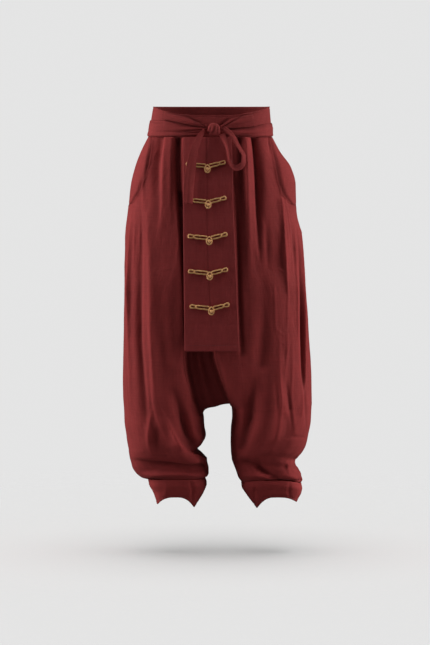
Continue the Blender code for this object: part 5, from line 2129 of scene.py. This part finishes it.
@dataclass
class Studio:
    """Plain pale floor, soft light from both sides, and the camera at the picture's angle.

    A light is a name, a place, a width and height, and a power.
    """

    floor_z: float = -1.02
    floor_size: float = 9.0
    backdrop: float = 0.78
    ambient: float = 0.07
    distance: float = 8.0
    across: float = 0.0071
    middle: float = -0.4744
    frame_height: float = 1.5261
    sensor: float = 36.0
    lights: tuple[tuple[str, tuple[float, float, float], tuple[float, float], float], ...] = (
        ("left_softbox", (-2.3, -0.32, 0.2), (1.2, 2.2), 69.0),
        ("right_softbox", (2.3, -0.30, 0.0), (1.2, 2.2), 60.0),
        ("low_card", (0.0, -0.55, -0.97), (0.8, 0.08), 0.45),
    )
    lights_aim: tuple[float, float, float] = (0.0, 0.0, -0.45)
    overhead: float = 1.15
    overhead_angle: float = 0.95

    def floor(self, wardrobe: Wardrobe) -> bpy.types.Object:
        """Lay the floor.

        Args:
            wardrobe: Where its material is made.

        Returns:
            The floor.
        """
        cage = bmesh.new()
        bmesh.ops.create_grid(cage, x_segments=2, y_segments=2, size=self.floor_size)
        mesh = to_mesh(cage, "studio_floor")
        mesh.materials.append(wardrobe.get(FloorFinish()))
        made = link("studio_floor", mesh)
        made.location.z = self.floor_z
        return made

    def light(self, floor: bpy.types.Object) -> None:
        """Hang the lights; the side lights spare the floor, as flags would.

        Args:
            floor: What only the overhead light falls on.
        """
        spared = bpy.data.collections.new("spared_by_side_lights")
        spared.objects.link(floor)
        spared.collection_objects[0].light_linking.link_state = "EXCLUDE"
        for name, place, size, power in self.lights:
            lamp = bpy.data.lights.new(name, "AREA")
            lamp.shape = "RECTANGLE"
            lamp.size, lamp.size_y = size
            lamp.energy = power
            made = link(name, lamp)
            made.location = place
            made.rotation_euler = turned(Vector(self.lights_aim) - Vector(place))
            made.light_linking.receiver_collection = spared
            made.visible_camera = False
        above = bpy.data.lights.new("overhead_soft", "SUN")
        above.energy, above.angle = self.overhead, self.overhead_angle
        link("overhead_soft", above)

    def surroundings(self) -> None:
        """Set the backdrop's tone, and a darker one for the light that it gives."""
        world = bpy.data.worlds.new("plain_backdrop")
        bpy.context.scene.world = world
        world.use_nodes = True
        tree = world.node_tree
        sky = tree.nodes["Background"]
        ray = tree.nodes.new("ShaderNodeLightPath")
        tone = tree.nodes.new("ShaderNodeMapRange")
        tone.inputs[3].default_value = self.ambient
        tone.inputs[4].default_value = self.backdrop
        tree.links.new(ray.outputs["Is Camera Ray"], tone.inputs[0])
        tree.links.new(tone.outputs[0], sky.inputs["Strength"])
        sky.inputs["Color"].default_value = rgba(WHITE)

    def camera(self) -> None:
        """Set the camera up: level with the waist, tipped down to the picture's middle."""
        data = bpy.data.cameras.new("camera")
        made = link("camera", data)
        made.location = Vector((self.across, -self.distance, 0.0))
        sight = Vector((self.across, 0.0, self.middle)) - made.location
        data.sensor_width = self.sensor
        data.lens = self.sensor * sight.length / self.frame_height
        data.clip_end = 100.0
        made.rotation_euler = turned(sight)
        bpy.context.scene.camera = made
        bpy.context.scene.view_settings.view_transform = "Standard"


def turned(sight: Vector) -> Euler:
    """Rotation of a light or camera that looks along a direction."""
    return sight.to_track_quat("-Z", "Y").to_euler()


# ---------------------------------------------------------------- the whole garment


@dataclass(frozen=True)
class Cut:
    """A sheet's cut: its flat width and length, and its area, in metres."""

    flat: tuple[float, float]
    area: float
    held: str
    rests_on: tuple[str, ...] = ()


def build_pieces() -> list[Piece]:
    """Build every piece in order.

    Returns:
        The pieces, ready to place.
    """
    body, band, apron = Body(), BandForm(), ApronForm()
    pieces: list[Piece] = []
    for side in Side:
        legs, cuff = LegPanels(body, side), Cuff(body, side)
        for face in Face:
            pieces += [legs.build(face), cuff.build(face), hem_stitches(body, side, face)]
        pieces.append(PocketFacing(body, side).build())
    pieces.append(Gusset(body).build())
    pieces += [Waistband(band).build(face) for face in Face]
    pieces += [
        Wrap(band, "sash_left", SASH_LEFT, ((0.3, 0.5, 0.07),)).build(),
        Wrap(band, "sash_right", SASH_RIGHT, ((0.25, 0.5, 0.07),)).build(),
        Wrap(band, "tie_left", TIE_LEFT, (), rise=1.7).build(),
        Wrap(band, "tie_right", TIE_RIGHT, (), rise=1.7).build(),
        Wrap(band, "sash_back", ((-150, -34.6, 4), (150, -34.6, -3)),
             ((0.6, 1.4, 0.1), (0.28, 1.0, 0.06)), columns=160).build(Face.BACK),
        Knot().build(),
        Strap("sash_tail", TAIL).build(),
        Strap("sash_loop", LOOP, crown=1.2, columns=12, seed=5).build(),
        Apron(apron).build(),
        apron_stitches(apron),
    ]
    for number, (x, z) in enumerate(FROGS, start=1):
        pieces += Frog(apron, number, x, z).build()
    return pieces


def main() -> None:
    """Set the studio up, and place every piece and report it."""
    logging.basicConfig(level=logging.INFO, format="%(message)s")
    wardrobe, studio = Wardrobe(), Studio()
    studio.camera()
    studio.light(studio.floor(wardrobe))
    studio.surroundings()
    made = {piece.name: piece.place(wardrobe) for piece in build_pieces()}


if __name__ == "__main__":
    main()
